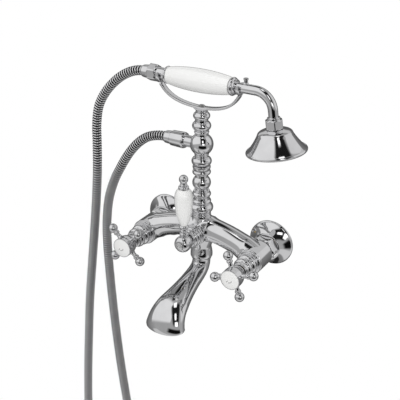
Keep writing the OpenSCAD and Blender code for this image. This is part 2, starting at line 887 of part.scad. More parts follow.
module cradle() {
    color("silver") on_column() difference() {
        union() {
            turned() {
                spigot(column_head, 5, 3.5);
                polygon(concat([[0, column_head], [7, column_head]],
                    curve([7, column_head + 1], [6.6, column_head + 2],
                          [8, pedestal_top - 1.4], [9.5, pedestal_top - 0.6]),
                    [[0, pedestal_top - 0.6]]));
            }
            strap();
            fork(-left_fork_x, left_fork_r);
            fork(right_fork_x, right_fork_r);
        }
        translate([0, 0, column_head - 5])
            cylinder(r = 2.6 + seat_gap, h = 20, $fn = small_fn);
    }
}

module cradle_screw() {
    color("silver") on_column() {
        translate([0, 0, column_head - 12])
            cylinder(r = 2.5, h = pedestal_top + strap_t - column_head + 11, $fn = small_fn);
        translate([0, 0, pedestal_top - 1.3 + strap_t])
            intersection() {
                cylinder(r = 3.8, h = 3, $fn = small_fn);
                translate([0, 0, -4]) sphere(r = 6, $fn = small_fn);
            }
    }
}

// ---- hand shower ---------------------------------------------------------

module handset_tail() {
    color("silver") along_handset() difference() {
        union() {
            translate([0, 0, tail_end])
                cylinder(r = fitting_thread_r - 0.4, h = 15, $fn = round_fn);
            translate([0, 0, tail_end + 6.4])
                cylinder(r = tail_body_r, h = grip_left - 3 - tail_end - 6.4, $fn = round_fn);
        }
        translate([0, 0, tail_end - 1])
            cylinder(r = 3.6, h = 40, $fn = small_fn);
    }
}

module handset_cap() {
    color("silver") along_handset() turned() difference() {
        union() {
            bead(grip_left - 1.7, 2.6, grip_end_r + 0.5);
            band(grip_left - 3, grip_left, grip_end_r - 0.8);
        }
        band(grip_left - 10, grip_left + 1, core_r + seat_gap);
    }
}

module handset_grip() {
    mid = (grip_left + grip_right) / 2;
    color("ivory") along_handset() turned() difference() {
        polygon(concat([[0, grip_left], [grip_end_r, grip_left]],
            curve([grip_end_r, grip_left], [grip_r * 0.87, grip_left + 10],
                  [grip_r, mid - 18], [grip_r, mid], 12),
            curve([grip_r, mid + 1], [grip_r, mid + 18],
                  [grip_r * 0.87, grip_right - 10], [grip_end_r, grip_right], 12),
            [[0, grip_right]]));
        band(grip_left - 1, grip_right + 1, core_r + seat_gap);
    }
}

module handset_core() {
    color("goldenrod") along_handset()
        tube(3.6, core_r, grip_left - 3, collar_end - 2);
}

module handset_collar() {
    color("silver") along_handset() turned() difference() {
        union() {
            band(grip_right, collar_end - 0.6, 8.4);
            bead(grip_right + 2.6, 5.2, 10.6);
            bead(grip_right + 6, 3.6, 8.8);
        }
        band(grip_right - 1, collar_end - 2, core_r + seat_gap);
        band(collar_end - 3, collar_end + 1, neck_r + seat_gap);
    }
}

// The straight runs are a hair larger than the bend and end just inside it.
module neck_tube(r, fn = round_fn) {
    along_handset() translate([0, 0, collar_end - 2])
        cylinder(r = r + 0.03, h = bend_x - collar_end + 2.5, $fn = fn);
    translate([bend_x, -body_reach, handset_z - neck_bend_r]) rotate([90, 0, 0])
        rotate([0, 0, head_tilt]) rotate_extrude(angle = bend_angle, $fn = 96)
            translate([neck_bend_r, 0]) circle(r = r, $fn = fn);
    at_head() translate([0, 0, -0.5])
        cylinder(r = r + 0.03, h = neck_drop + 0.5, $fn = fn);
}

// The head's own axis: local Z runs down and outward from the end of the bend.
module at_head() {
    translate([bend_x + neck_bend_r * cos(head_tilt), -body_reach,
               handset_z - neck_bend_r + neck_bend_r * sin(head_tilt)])
        rotate([0, 180 - head_tilt, 0]) children();
}

module handset_neck() {
    color("silver") difference() {
        union() {
            neck_tube(neck_r);
            translate([collar_end + 10.4, -body_reach, handset_z])
                cylinder(r = 2.3, h = 12, $fn = small_fn);
            translate([collar_end + 10.4, -body_reach, handset_z + 10.4])
                cylinder(r = 2.8, h = 1.8, $fn = small_fn);
            at_head() translate([0, 0, neck_drop - 2.5])
                cylinder(r = 7.4, h = 2.5 + head_nut_h, $fn = round_fn);
        }
        neck_tube(neck_r - 1.4);
        at_head() translate([0, 0, neck_drop - 4])
            cylinder(r = 4.2, h = 30, $fn = round_fn);
    }
}

head_start = neck_drop;
bell_start = head_start + head_nut_h;
bell_h = 27.5;

module head_nut() {
    color("silver") at_head() difference() {
        translate([0, 0, head_start])
            cylinder(r = 10.6, h = head_nut_h - 0.3, $fn = 6);
        translate([0, 0, head_start - 1])
            cylinder(r = 7.4 + seat_gap, h = head_nut_h + 2, $fn = round_fn);
    }
}

function bell_outline(inset) = concat(
    curve([10 - inset, bell_start], [13 - inset, bell_start + 1],
          [bell_r * 0.52 - inset, bell_start + 1], [bell_r * 0.57 - inset, bell_start + 4.6]),
    curve([bell_r * 0.6 - inset, bell_start + 7], [bell_r * 0.68 - inset, bell_start + 12],
          [bell_r * 0.83 - inset, bell_start + 20],
          [bell_r - 1.2 - inset, bell_start + bell_h - 3.6]));

module shower_bell() {
    color("silver") at_head() turned() difference() {
        union() {
            polygon(concat([[0, bell_start]], bell_outline(0),
                           [[bell_r - 1.2, bell_start + bell_h], [0, bell_start + bell_h]]));
            bead(bell_start + bell_h - 2.4, 4.6, bell_r);
        }
        polygon(concat([[0, bell_start + 4]],
            [for (p = bell_outline(2)) [p[0], max(p[1], bell_start + 4)]],
            [[bell_r - 3.2, bell_start + bell_h + 1], [0, bell_start + bell_h + 1]]));
        band(bell_start - 1, bell_start + 8, 6.4);
    }
}

module spray_plate() {
    top = bell_start + bell_h - 3.4;
    color("silver") at_head() difference() {
        translate([0, 0, top])
            cylinder(r = bell_r - 3.2 - seat_gap, h = 2.4, $fn = round_fn);
        for (ring = [1:4], k = [0:6 * ring - 1])
            rotate([0, 0, 60 * k / ring]) translate([ring * 6.6, 0, top - 1])
                cylinder(r = 0.7, h = 5, $fn = 6);
    }
}

// ---- hose ----------------------------------------------------------------

hose_sides = 10;
hose_bore_r = 3.4;
fitting_thread_r = 7.4;
lower_nut_r = 9.9;
upper_nut_r = 10.7;
sleeve_r = 8.2;
lower_exit = -outlet_end - 22.5;
lower_sleeve = 10.1;
upper_exit = tail_end - 15;
upper_sleeve = 9.6;
nut_clear = 0.3;

// The hose's centre line by hand, as X and height: out of the column fitting,
// down one side, round the bottom and up the other side to the hand shower.
hose_route = [
    [lower_exit, ball_z], [-63, 128], [-76, 123.5], [-88, 115], [-99, 103.5], [-109, 90],
    [-119, 73.5], [-128, 57], [-135, 40], [-140, 24], [-144, 0], [-146, -30],
    [-145, -80], [-141, -150], [-134, -230], [-124, -310], [-115, -380],
    [-109, -430], [-107, -465], [-113, -488], [-130, -505], [-153, -511],
    [-176, -505], [-193, -488], [-199, -465], [-200, -420], [-199, -350],
    [-195, -280], [-189, -210], [-182, -140], [-174, -80], [-167, -30], [-160, 24],
    [-156, 64], [-154, 100], [-153, 125], [-149, 147.5], [-142, 162.5], [-132, 176],
    [-120, 188], [-107, 197.5], [-93, 204],
    [upper_exit, handset_z]
];
hose_steps = 2;

function route_point(i) = hose_route[max(0, min(len(hose_route) - 1, i))];
function smooth(i, t) =
    let (a = route_point(i - 1), b = route_point(i), c = route_point(i + 1),
         d = route_point(i + 2), lb = norm(c - b),
         la = max(norm(b - a), 1), lc = max(norm(d - c), 1),
         mb = i == 0 ? [-lb, 0] : lb * (c - a) / (la + lb),
         mc = i == len(hose_route) - 2 ? [lb, 0] : lb * (d - b) / (lb + lc))
    (2 * t * t * t - 3 * t * t + 1) * b + (t * t * t - 2 * t * t + t) * mb
    + (3 * t * t - 2 * t * t * t) * c + (t * t * t - t * t) * mc;
hose_line = concat(
    [for (i = [0:len(hose_route) - 2], k = [0:hose_steps - 1]) smooth(i, k / hose_steps)],
    [route_point(len(hose_route) - 1)]);
function line_heading(i) =
    i == 0 ? [-1, 0]
    : i == len(hose_line) - 1 ? [1, 0]
    : (hose_line[i + 1] - hose_line[i - 1]) / norm(hose_line[i + 1] - hose_line[i - 1]);
function hose_ring(i) =
    let (p = hose_line[i], h = line_heading(i))
    [for (k = [0:hose_sides - 1])
        let (a = 360 * k / hose_sides, s = hose_r * sin(a))
        [p[0] - s * h[1], -body_reach + hose_r * cos(a), p[1] + s * h[0]]];

module hose() {
    color("gray") loft([for (i = [0:len(hose_line) - 1]) hose_ring(i)]);
}

// Fitting pieces point away from the thread that they screw on to, from z = 0
// at the thread's end face.
fitting_washer_t = 1.6;
fitting_flange_t = 2;

module hose_washer() {
    color("black")
        tube(hose_bore_r + 0.6, fitting_thread_r - 0.8, 0, fitting_washer_t, small_fn);
}

module hose_ferrule(length, sleeve) {
    color("silver") difference() {
        union() {
            translate([0, 0, fitting_washer_t])
                cylinder(r = fitting_thread_r - 0.3, h = fitting_flange_t, $fn = round_fn);
            translate([0, 0, fitting_washer_t])
                cylinder(r = 5.8, h = length - fitting_washer_t, $fn = round_fn);
            translate([0, 0, length - sleeve])
                cylinder(r1 = sleeve_r, r2 = hose_r + 0.4, h = sleeve, $fn = round_fn);
        }
        translate([0, 0, -1])
            cylinder(r = hose_bore_r, h = length + 2, $fn = small_fn);
    }
}

module hose_nut(r, back, front, sides) {
    color("silver") difference() {
        translate([0, 0, back])
            cylinder(r = r, h = front - back, $fn = sides);
        translate([0, 0, back - 1])
            cylinder(r = fitting_thread_r + seat_gap,
                     h = fitting_washer_t + fitting_flange_t - back + 1 + seat_gap,
                     $fn = round_fn);
        translate([0, 0, back - 1])
            cylinder(r = 5.8 + seat_gap, h = front - back + 2, $fn = round_fn);
    }
}

module at_outlet() {
    translate([-outlet_end, -body_reach, ball_z]) rotate([0, -90, 0]) children();
}

module at_tail() {
    translate([tail_end, -body_reach, handset_z]) rotate([0, -90, 0]) children();
}

module lower_ferrule() {
    at_outlet() hose_ferrule(-lower_exit - outlet_end, lower_sleeve);
}

module lower_nut() {
    front = -lower_exit - outlet_end - lower_sleeve - nut_clear;
    at_outlet() hose_nut(lower_nut_r, outlet_nut_back - outlet_end, front, round_fn);
}

module lower_washer() {
    at_outlet() hose_washer();
}

module upper_ferrule() {
    at_tail() hose_ferrule(tail_end - upper_exit, upper_sleeve);
}

module upper_nut() {
    front = tail_end - upper_exit - upper_sleeve - nut_clear;
    at_tail() hose_nut(upper_nut_r, -6, front, 6);
}

module upper_washer() {
    at_tail() hose_washer();
}

// ---- the drawing ---------------------------------------------------------

module hot_union() {
    forward(-valve_x) inlet_union();
}

module hot_flange() {
    forward(-valve_x) wall_flange();
}

module hot_union_nut() {
    forward(-valve_x) union_nut();
}

module hot_cartridge() {
    forward(-valve_x) cartridge_shell(cartridge_front);
}

module hot_turning_disc() {
    forward(-valve_x) turning_disc();
}

module hot_spindle() {
    forward(-valve_x) valve_spindle();
}

module hot_bonnet() {
    forward(-valve_x) bonnet(bonnet_front, bonnet_r);
}

module hot_handle() {
    forward(-valve_x) cross_handle(hot_turn);
}

module hot_handle_screw() {
    forward(-valve_x) handle_screw();
}

module hot_button() {
    forward(-valve_x) index_button();
}

module cold_union() {
    forward(valve_x) inlet_union();
}

module cold_flange() {
    forward(valve_x) wall_flange();
}

module cold_union_nut() {
    forward(valve_x) union_nut();
}

module cold_cartridge() {
    forward(valve_x) cartridge_shell(cartridge_front);
}

module cold_turning_disc() {
    forward(valve_x) turning_disc();
}

module cold_spindle() {
    forward(valve_x) valve_spindle();
}

module cold_bonnet() {
    forward(valve_x) bonnet(bonnet_front, bonnet_r);
}

module cold_handle() {
    forward(valve_x) cross_handle(cold_turn);
}

module cold_handle_screw() {
    forward(valve_x) handle_screw();
}

module cold_button() {
    forward(valve_x) index_button();
}

module union_washers() {
    for (x = [-valve_x, valve_x])
        forward(x) union_washer();
}

module fixed_discs() {
    for (x = [-valve_x, valve_x])
        forward(x) fixed_disc();
}

module diverter_cartridge() {
    forward(0, diverter_z) diverter_cartridge_shape();
}

module diverter_spindle() {
    forward(0, diverter_z) diverter_spindle_shape();
}

module diverter_bonnet() {
    forward(0, diverter_z) diverter_bonnet_shape();
}

module diverter_hub() {
    forward(0, diverter_z) diverter_hub_shape();
}

module diverter_screw() {
    forward(0, diverter_z) diverter_screw_shape();
}

module diverter_cap() {
    forward(0, diverter_z) diverter_cap_shape();
}

hot_union();
cold_union();
hot_flange();
cold_flange();
hot_union_nut();
cold_union_nut();
union_washers();
mixer_body();
hot_cartridge();
cold_cartridge();
fixed_discs();
hot_turning_disc();
cold_turning_disc();
hot_spindle();
cold_spindle();
hot_bonnet();
cold_bonnet();
hot_handle();
cold_handle();
hot_handle_screw();
cold_handle_screw();
hot_button();
cold_button();
diverter_bonnet();
diverter_cartridge();
diverter_spindle();
diverter_hub();
diverter_screw();
diverter_cap();
lever_rod();
lever_ferrule();
lever_porcelain();
lever_finial();
spout();
spout_seals();
spout_screw();
column_base();
column_stem();
outlet_ball();
column_top();
check_valve();
cradle();
cradle_screw();
handset_tail();
handset_cap();
handset_grip();
handset_core();
handset_collar();
handset_neck();
head_nut();
shower_bell();
spray_plate();
hose();
lower_ferrule();
lower_nut();
lower_washer();
upper_ferrule();
upper_nut();
upper_washer();
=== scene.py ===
"""Looks for the wall mounted bath faucet: smooth turned and cast shapes, a ribbed
metal hose, and procedural chrome, porcelain and brass. Sizes are in millimetres in the
part's own frame (wall at Y = 0, faucet towards -Y, Z up) and become metres in mesh().
"""
import json
import math

import bpy
import numpy as np
from mathutils import Matrix, Vector


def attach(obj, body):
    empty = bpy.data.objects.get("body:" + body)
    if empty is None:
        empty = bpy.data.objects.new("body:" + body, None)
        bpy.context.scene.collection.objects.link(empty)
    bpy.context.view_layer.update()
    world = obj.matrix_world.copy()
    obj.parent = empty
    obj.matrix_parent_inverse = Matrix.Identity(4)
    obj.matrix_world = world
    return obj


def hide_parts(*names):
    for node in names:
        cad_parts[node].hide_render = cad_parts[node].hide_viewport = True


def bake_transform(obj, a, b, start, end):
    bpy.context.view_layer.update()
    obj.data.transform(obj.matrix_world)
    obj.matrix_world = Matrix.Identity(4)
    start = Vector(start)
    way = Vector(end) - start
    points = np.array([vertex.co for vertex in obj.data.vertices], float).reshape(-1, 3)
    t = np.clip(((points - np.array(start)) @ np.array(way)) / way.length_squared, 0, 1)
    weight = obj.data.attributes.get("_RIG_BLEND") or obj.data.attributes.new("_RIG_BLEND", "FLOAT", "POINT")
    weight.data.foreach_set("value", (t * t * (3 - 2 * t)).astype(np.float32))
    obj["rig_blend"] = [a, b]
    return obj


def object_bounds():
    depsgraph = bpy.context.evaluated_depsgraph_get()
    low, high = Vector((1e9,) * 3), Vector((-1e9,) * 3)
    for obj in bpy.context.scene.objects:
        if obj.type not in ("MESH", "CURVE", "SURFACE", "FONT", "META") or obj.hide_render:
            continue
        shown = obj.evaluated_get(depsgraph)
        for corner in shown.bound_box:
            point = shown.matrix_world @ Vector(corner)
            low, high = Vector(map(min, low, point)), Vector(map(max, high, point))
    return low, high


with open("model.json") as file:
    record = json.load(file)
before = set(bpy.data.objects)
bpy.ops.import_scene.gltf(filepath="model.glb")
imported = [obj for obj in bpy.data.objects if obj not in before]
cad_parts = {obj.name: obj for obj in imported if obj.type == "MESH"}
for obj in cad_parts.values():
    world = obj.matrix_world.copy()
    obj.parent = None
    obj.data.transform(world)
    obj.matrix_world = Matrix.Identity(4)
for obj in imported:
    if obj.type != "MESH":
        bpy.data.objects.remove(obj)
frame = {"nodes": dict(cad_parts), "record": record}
cad_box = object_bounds()

MM = 0.001
# The radius that stands for a point on a turned shape's axis, in millimetres.
AXIS_R = 0.0005

# ---- sizes shared with the part ------------------------------------------

VALVE_X = 75.0
REACH = 43.0
DIVERTER_Z = 17.0
LEVER_REACH = 84.0
HANDSET_Z = 206.3
OUTLET_Z = 129.5
HANDLE_REACH = 97.5
ARM_LEN = 26.3
ARM_BALL_R = 5.8
BUTTON_R = 11.4
BUTTON_FACE = 107.6
HOT_TURN = 47.0
COLD_TURN = 17.5
HEAD_TILT = 8.0
HOSE_D = 12.0


# ---- camera --------------------------------------------------------------

VIEW_AZIMUTH = math.radians(30.55)
VIEW_ELEVATION = math.radians(25.42)
VIEW_DISTANCE = 1016.1
VIEW_TARGET = (1.88, -50.0, 60.07)
VIEW_BACK = Vector((
    math.sin(VIEW_AZIMUTH) * math.cos(VIEW_ELEVATION),
    -math.cos(VIEW_AZIMUTH) * math.cos(VIEW_ELEVATION),
    math.sin(VIEW_ELEVATION),
))
VIEW_RIGHT = Vector((math.cos(VIEW_AZIMUTH), math.sin(VIEW_AZIMUTH), 0))
VIEW_UP = VIEW_BACK.cross(VIEW_RIGHT)
LENS = 76.19
SENSOR_WIDTH = 36.0


def add_camera():
    """The photograph's view: half right of straight on, and from above."""
    data = bpy.data.cameras.new("camera")
    data.sensor_width = SENSOR_WIDTH
    data.lens = LENS
    data.clip_start = 0.01
    camera = bpy.data.objects.new("camera", data)
    camera.location = Vector(VIEW_TARGET) * MM + VIEW_BACK * (VIEW_DISTANCE * MM)
    camera.rotation_euler = (-VIEW_BACK).to_track_quat("-Z", "Y").to_euler()
    bpy.context.scene.collection.objects.link(camera)
    bpy.context.scene.camera = camera


# ---- places --------------------------------------------------------------

def frame_matrix(origin, x_axis, y_axis, z_axis):
    """A matrix that puts local X, Y and Z along these directions."""
    m = Matrix.Identity(4)
    for column, axis in enumerate((x_axis, y_axis, z_axis)):
        for row in range(3):
            m[row][column] = axis[row]
    for row in range(3):
        m[row][3] = origin[row]
    return m


def forward(x=0.0, z=0.0):
    """Local Z is the distance out from the wall and local Y is up."""
    return frame_matrix((x, 0, z), (1, 0, 0), (0, 0, 1), (0, -1, 0))


def column():
    """Local Z is height on the column's axis."""
    return Matrix.Translation((0, -REACH, 0))


def lever():
    """Local Z is height on the diverter lever's axis."""
    return Matrix.Translation((0, -LEVER_REACH, 0))


def along_handset():
    """Local Z is X on the hand shower's axis."""
    return frame_matrix((0, -REACH, HANDSET_Z), (0, 0, -1), (0, 1, 0), (1, 0, 0))


def towards_hose(height):
    """Local Z runs out to -X from the column's axis at this height."""
    return frame_matrix((0, -REACH, height), (0, 0, 1), (0, 1, 0), (-1, 0, 0))


def outlet():
    """Local Z points out of the hose outlet."""
    return towards_hose(OUTLET_Z)


def tail_outlet():
    """Local Z points out of the hand shower's tail."""
    return towards_hose(HANDSET_Z)


NECK_R = 5.6
NECK_BEND_R = 22.0
BEND_X = 68.6


def head():
    """Local Z runs down the shower head's axis from the end of the neck's bend."""
    tilt = math.radians(HEAD_TILT)
    origin = (
        BEND_X + NECK_BEND_R * math.cos(tilt),
        -REACH,
        HANDSET_Z - NECK_BEND_R + NECK_BEND_R * math.sin(tilt),
    )
    down = (math.sin(tilt), 0, -math.cos(tilt))
    across = (-math.cos(tilt), 0, -math.sin(tilt))
    return frame_matrix(origin, across, (0, 1, 0), down)


# ---- mesh helpers --------------------------------------------------------

SHARP = math.radians(38)


def mesh(name, shells, body, material, nodes=()):
    """One object from shells of (vertices in mm, faces), riding on a body."""
    vertices = []
    faces = []
    for shell_vertices, shell_faces in shells:
        start = len(vertices)
        vertices.extend(tuple(c * MM for c in v) for v in shell_vertices)
        faces.extend(tuple(start + i for i in f) for f in shell_faces)
    data = bpy.data.meshes.new(name)
    data.from_pydata(vertices, [], faces)
    data.validate()
    data.polygons.foreach_set("use_smooth", [True] * len(data.polygons))
    data.set_sharp_from_angle(angle=SHARP)
    data.materials.append(material)
    data.update()
    piece = bpy.data.objects.new(name, data)
    bpy.context.scene.collection.objects.link(piece)
    if body:
        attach(piece, body)
    if nodes:
        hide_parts(*nodes)
    return piece


def skin(rings, closed=False):
    """Quads through rings of equal length. Open skins get a cap at each end."""
    count = len(rings[0])
    vertices = [v for ring in rings for v in ring]
    faces = []
    spans = len(rings) if closed else len(rings) - 1
    for i in range(spans):
        a = i * count
        b = ((i + 1) % len(rings)) * count
        for k in range(count):
            n = (k + 1) % count
            faces.append((a + k, a + n, b + n, b + k))
    if not closed:
        faces.append(tuple(range(count - 1, -1, -1)))
        last = (len(rings) - 1) * count
        faces.append(tuple(last + k for k in range(count)))
    return vertices, faces


def placed(shell, place):
    """A shell's vertices moved by a matrix."""
    vertices, faces = shell
    return [tuple(place @ Vector(v)) for v in vertices], faces


def round_ring(z, r, sides):
    """A circle of points about local Z."""
    return [
        (r * math.cos(2 * math.pi * k / sides), r * math.sin(2 * math.pi * k / sides), z)
        for k in range(sides)
    ]


def lathe(outline, place, sides=96):
    """A solid of revolution about local Z from (z, r) points, closed on the axis."""
    return placed(skin([round_ring(z, max(r, AXIS_R), sides) for z, r in outline]), place)


# ---- outlines ------------------------------------------------------------

def band(z1, z2, r1, r2=None):
    """A straight or tapered stretch of outline."""
    r2 = r1 if r2 is None else r2

    def radius(z):
        t = np.clip((z - z1) / (z2 - z1), 0, 1)
        return np.where((z >= z1) & (z <= z2), r1 + (r2 - r1) * t, 0)
    return radius


def bead(z, height, r):
    """A half round bead, as the part's bead()."""
    def radius(along):
        reach = (height / 2) ** 2 - (along - z) ** 2
        return np.where(reach >= 0, r - height / 2 + np.sqrt(np.maximum(reach, 0)), 0)
    return radius


def ball(z, r):
    """A sphere centred on the axis."""
    def radius(along):
        return np.sqrt(np.maximum(r * r - (along - z) ** 2, 0))
    return radius


def turned(z1, z2, shapes, soften=0.35, step=0.3):
    """The outside of several shapes together, with its corners softened."""
    z = np.arange(z1, z2 + 0.01, 0.02)
    r = np.max([shape(z) for shape in shapes], axis=0)
    points = np.stack([z, r], axis=1)
    points = np.vstack([[z1, 0], points, [z2, 0]])
    return soft_line(points, soften, step)


def soft_line(points, soften, step):
    """A polyline resampled evenly along its length, with its corners softened."""
    points = np.asarray(points, float)
    lengths = np.concatenate([[0], np.cumsum(np.linalg.norm(np.diff(points, axis=0), axis=1))])
    fine = 0.05
    at = np.arange(0, lengths[-1] + fine, fine)
    line = np.stack([np.interp(at, lengths, points[:, i]) for i in range(2)], axis=1)
    half = int(round(3 * soften / fine))
    kernel = np.exp(-0.5 * (np.arange(-half, half + 1) * fine / soften) ** 2)
    kernel /= kernel.sum()
    padded = np.pad(line, ((half, half), (0, 0)), mode="reflect", reflect_type="odd")
    soft = np.stack([np.convolve(padded[:, i], kernel, "valid") for i in range(2)], axis=1)
    keep = np.arange(0, len(soft), max(1, int(round(step / fine))))
    chosen = soft[np.append(keep, len(soft) - 1)]
    chosen[:, 1] = np.maximum(chosen[:, 1], 0)
    return chosen


def cubic(a, b, c, d, t):
    """The point or points at t on a cubic curve from a to d, drawn towards b and c."""
    a, b, c, d = (np.array(p, float) for p in (a, b, c, d))
    return (1 - t) ** 3 * a + 3 * (1 - t) ** 2 * t * b + 3 * (1 - t) * t * t * c + t ** 3 * d


def curve(a, b, c, d, count=16):
    """Evenly spaced points on a cubic curve between a and d."""
    return cubic(a, b, c, d, np.linspace(0, 1, count)[:, None])


def polygon_outline(points, soften=0.35, step=0.3):
    """A softened outline through (z, r) points, closed on the axis at both ends."""
    points = np.vstack([[points[0][0], 0], np.asarray(points, float), [points[-1][0], 0]])
    return soft_line(points, soften, step)


# ---- materials -----------------------------------------------------------

def new_material(name):
    material = bpy.data.materials.new(name)
    material.use_nodes = True
    nodes = material.node_tree.nodes
    nodes.clear()
    output = nodes.new("ShaderNodeOutputMaterial")
    shader = nodes.new("ShaderNodeBsdfPrincipled")
    material.node_tree.links.new(shader.outputs["BSDF"], output.inputs["Surface"])
    return material, nodes, material.node_tree.links, shader


def object_noise(nodes, links, scale, detail=3.0, roughness=0.5):
    coordinates = nodes.new("ShaderNodeTexCoord")
    noise = nodes.new("ShaderNodeTexNoise")
    noise.inputs["Scale"].default_value = scale
    noise.inputs["Detail"].default_value = detail
    noise.inputs["Roughness"].default_value = roughness
    links.new(coordinates.outputs["Object"], noise.inputs["Vector"])
    return noise


def remap(nodes, links, source, low, high):
    """The source's 0.3 to 0.7 spread over low to high."""
    node = nodes.new("ShaderNodeMapRange")
    node.inputs["From Min"].default_value = 0.3
    node.inputs["From Max"].default_value = 0.7
    node.inputs["To Min"].default_value = low
    node.inputs["To Max"].default_value = high
    links.new(source, node.inputs["Value"])
    return node.outputs["Result"]


def ramp(nodes, links, source, dark, light):
    node = nodes.new("ShaderNodeValToRGB")
    node.color_ramp.elements[0].position = 0.3
    node.color_ramp.elements[0].color = (*dark, 1)
    node.color_ramp.elements[1].position = 0.7
    node.color_ramp.elements[1].color = (*light, 1)
    links.new(source, node.inputs["Fac"])
    return node.outputs["Color"]


def add_bump(nodes, links, shader, source, strength, distance):
    bump = nodes.new("ShaderNodeBump")
    bump.inputs["Strength"].default_value = strength
    bump.inputs["Distance"].default_value = distance
    links.new(source, bump.inputs["Height"])
    links.new(bump.outputs["Normal"], shader.inputs["Normal"])


def metal(name, dark, light, rough_low, rough_high, scale=60.0, bump=0.02):
    """Polished or satin metal: mottled tone and gloss and a very slight waviness."""
    material, nodes, links, shader = new_material(name)
    shader.inputs["Metallic"].default_value = 1.0
    broad = object_noise(nodes, links, scale)
    fine = object_noise(nodes, links, scale * 12, 4.0, 0.6)
    links.new(ramp(nodes, links, broad.outputs["Fac"], dark, light), shader.inputs["Base Color"])
    links.new(
        remap(nodes, links, fine.outputs["Fac"], rough_low, rough_high),
        shader.inputs["Roughness"],
    )
    add_bump(nodes, links, shader, broad.outputs["Fac"], bump, 0.0002)
    return material


def glazed(name, dark, light, rough, scale=40.0):
    """Glossy fired glaze over a pale body."""
    material, nodes, links, shader = new_material(name)
    broad = object_noise(nodes, links, scale, 2.0)
    fine = object_noise(nodes, links, scale * 20, 3.0, 0.6)
    links.new(ramp(nodes, links, broad.outputs["Fac"], dark, light), shader.inputs["Base Color"])
    links.new(
        remap(nodes, links, fine.outputs["Fac"], rough * 0.7, rough * 1.4),
        shader.inputs["Roughness"],
    )
    shader.inputs["Coat Weight"].default_value = 0.6
    shader.inputs["Coat Roughness"].default_value = 0.04
    add_bump(nodes, links, shader, broad.outputs["Fac"], 0.02, 0.0001)
    return material


def dull(name, dark, light, rough, scale=200.0):
    """Rubber or moulded plastic with a fine grain."""
    material, nodes, links, shader = new_material(name)
    grain = object_noise(nodes, links, scale, 5.0, 0.7)
    links.new(ramp(nodes, links, grain.outputs["Fac"], dark, light), shader.inputs["Base Color"])
    links.new(
        remap(nodes, links, grain.outputs["Fac"], rough * 0.85, rough * 1.1),
        shader.inputs["Roughness"],
    )
    add_bump(nodes, links, shader, grain.outputs["Fac"], 0.2, 0.0002)
    return material


CHROME = metal("chrome", (0.74, 0.74, 0.75), (0.82, 0.82, 0.83), 0.03, 0.07)
BRUSHED = metal("brushed_chrome", (0.80, 0.80, 0.80), (0.88, 0.88, 0.88), 0.30, 0.38)
HOSE_METAL = metal("hose_metal", (0.82, 0.82, 0.83), (0.90, 0.90, 0.91), 0.10, 0.20, 120.0)
# Near-black metal for the hose's groove faces: painted shade standing in for the shadow inside each groove.
HOSE_GROOVE_PAINTED_SHADE = metal("hose_groove_painted_shade", (0.01, 0.01, 0.01), (0.03, 0.03, 0.03), 0.45, 0.60, 120.0)
BRASS = metal("brass", (0.60, 0.44, 0.20), (0.72, 0.55, 0.28), 0.22, 0.38, 90.0)
STEEL = metal("screw_steel", (0.48, 0.48, 0.48), (0.60, 0.60, 0.60), 0.22, 0.36, 90.0)
PORCELAIN = glazed("porcelain", (0.84, 0.84, 0.83), (0.87, 0.87, 0.86), 0.10, 25.0)
DISC_CERAMIC = glazed("disc_ceramic", (0.80, 0.78, 0.72), (0.88, 0.87, 0.82), 0.30)
RUBBER = dull("seal_rubber", (0.018, 0.018, 0.018), (0.04, 0.04, 0.04), 0.7)
ENAMEL = dull("dark_enamel", (0.05, 0.05, 0.05), (0.09, 0.09, 0.09), 0.35)
PLASTIC = dull("white_plastic", (0.74, 0.74, 0.72), (0.82, 0.82, 0.80), 0.5)

SLOT_MATERIALS = {
    "chrome": CHROME,
    "porcelain": PORCELAIN,
    "hose_metal": HOSE_METAL,
    "brass": BRASS,
    "screw_steel": STEEL,
    "disc_ceramic": DISC_CERAMIC,
    "seal_rubber": RUBBER,
    "white_plastic": PLASTIC,
}


def dress_cad_nodes():
    """Every carried-over CAD node takes its record slot's material."""
    for subpart in frame["record"]["subparts"]:
        node = frame["nodes"][subpart["node"]]
        material = SLOT_MATERIALS[subpart["material_slot"]]
        data = node.data
        if not data.materials:
            data.materials.append(material)
        for place in node.material_slots:
            place.material = material


# ---- hose ----------------------------------------------------------------

# The part's own route, as X and height in millimetres.
HOSE_ROUTE = [
    (-50.5, 129.5), (-63, 128), (-76, 123.5), (-88, 115), (-99, 103.5), (-109, 90),
    (-119, 73.5), (-128, 57), (-135, 40), (-140, 24), (-144, 0), (-146, -30),
    (-145, -80), (-141, -150), (-134, -230), (-124, -310), (-115, -380),
    (-109, -430), (-107, -465), (-113, -488), (-130, -505), (-153, -511),
    (-176, -505), (-193, -488), (-199, -465), (-200, -420), (-199, -350),
    (-195, -280), (-189, -210), (-182, -140), (-174, -80), (-167, -30), (-160, 24),
    (-156, 64), (-154, 100), (-153, 125), (-149, 147.5), (-142, 162.5), (-132, 176),
    (-120, 188), (-107, 197.5), (-93, 204), (-80, 206.3),
]


def smooth_route(points, steps):
    """A smooth line through the points, level where it leaves each fitting."""
    p = np.array(points, float)
    last = len(p) - 1
    line = []
    for i in range(last):
        b, c = p[i], p[i + 1]
        a, d = p[max(i - 1, 0)], p[min(i + 2, last)]
        span = np.linalg.norm(c - b)
        before = max(np.linalg.norm(b - a), 1)
        after = max(np.linalg.norm(d - c), 1)
        start = np.array([-span, 0]) if i == 0 else span * (c - a) / (before + span)
        end = np.array([span, 0]) if i == last - 1 else span * (d - b) / (span + after)
        for k in range(steps):
            t = k / steps
            line.append(
                (2 * t ** 3 - 3 * t * t + 1) * b + (t ** 3 - 2 * t * t + t) * start
                + (3 * t * t - 2 * t ** 3) * c + (t ** 3 - t * t) * end
            )
    line.append(p[last])
    return np.array(line)


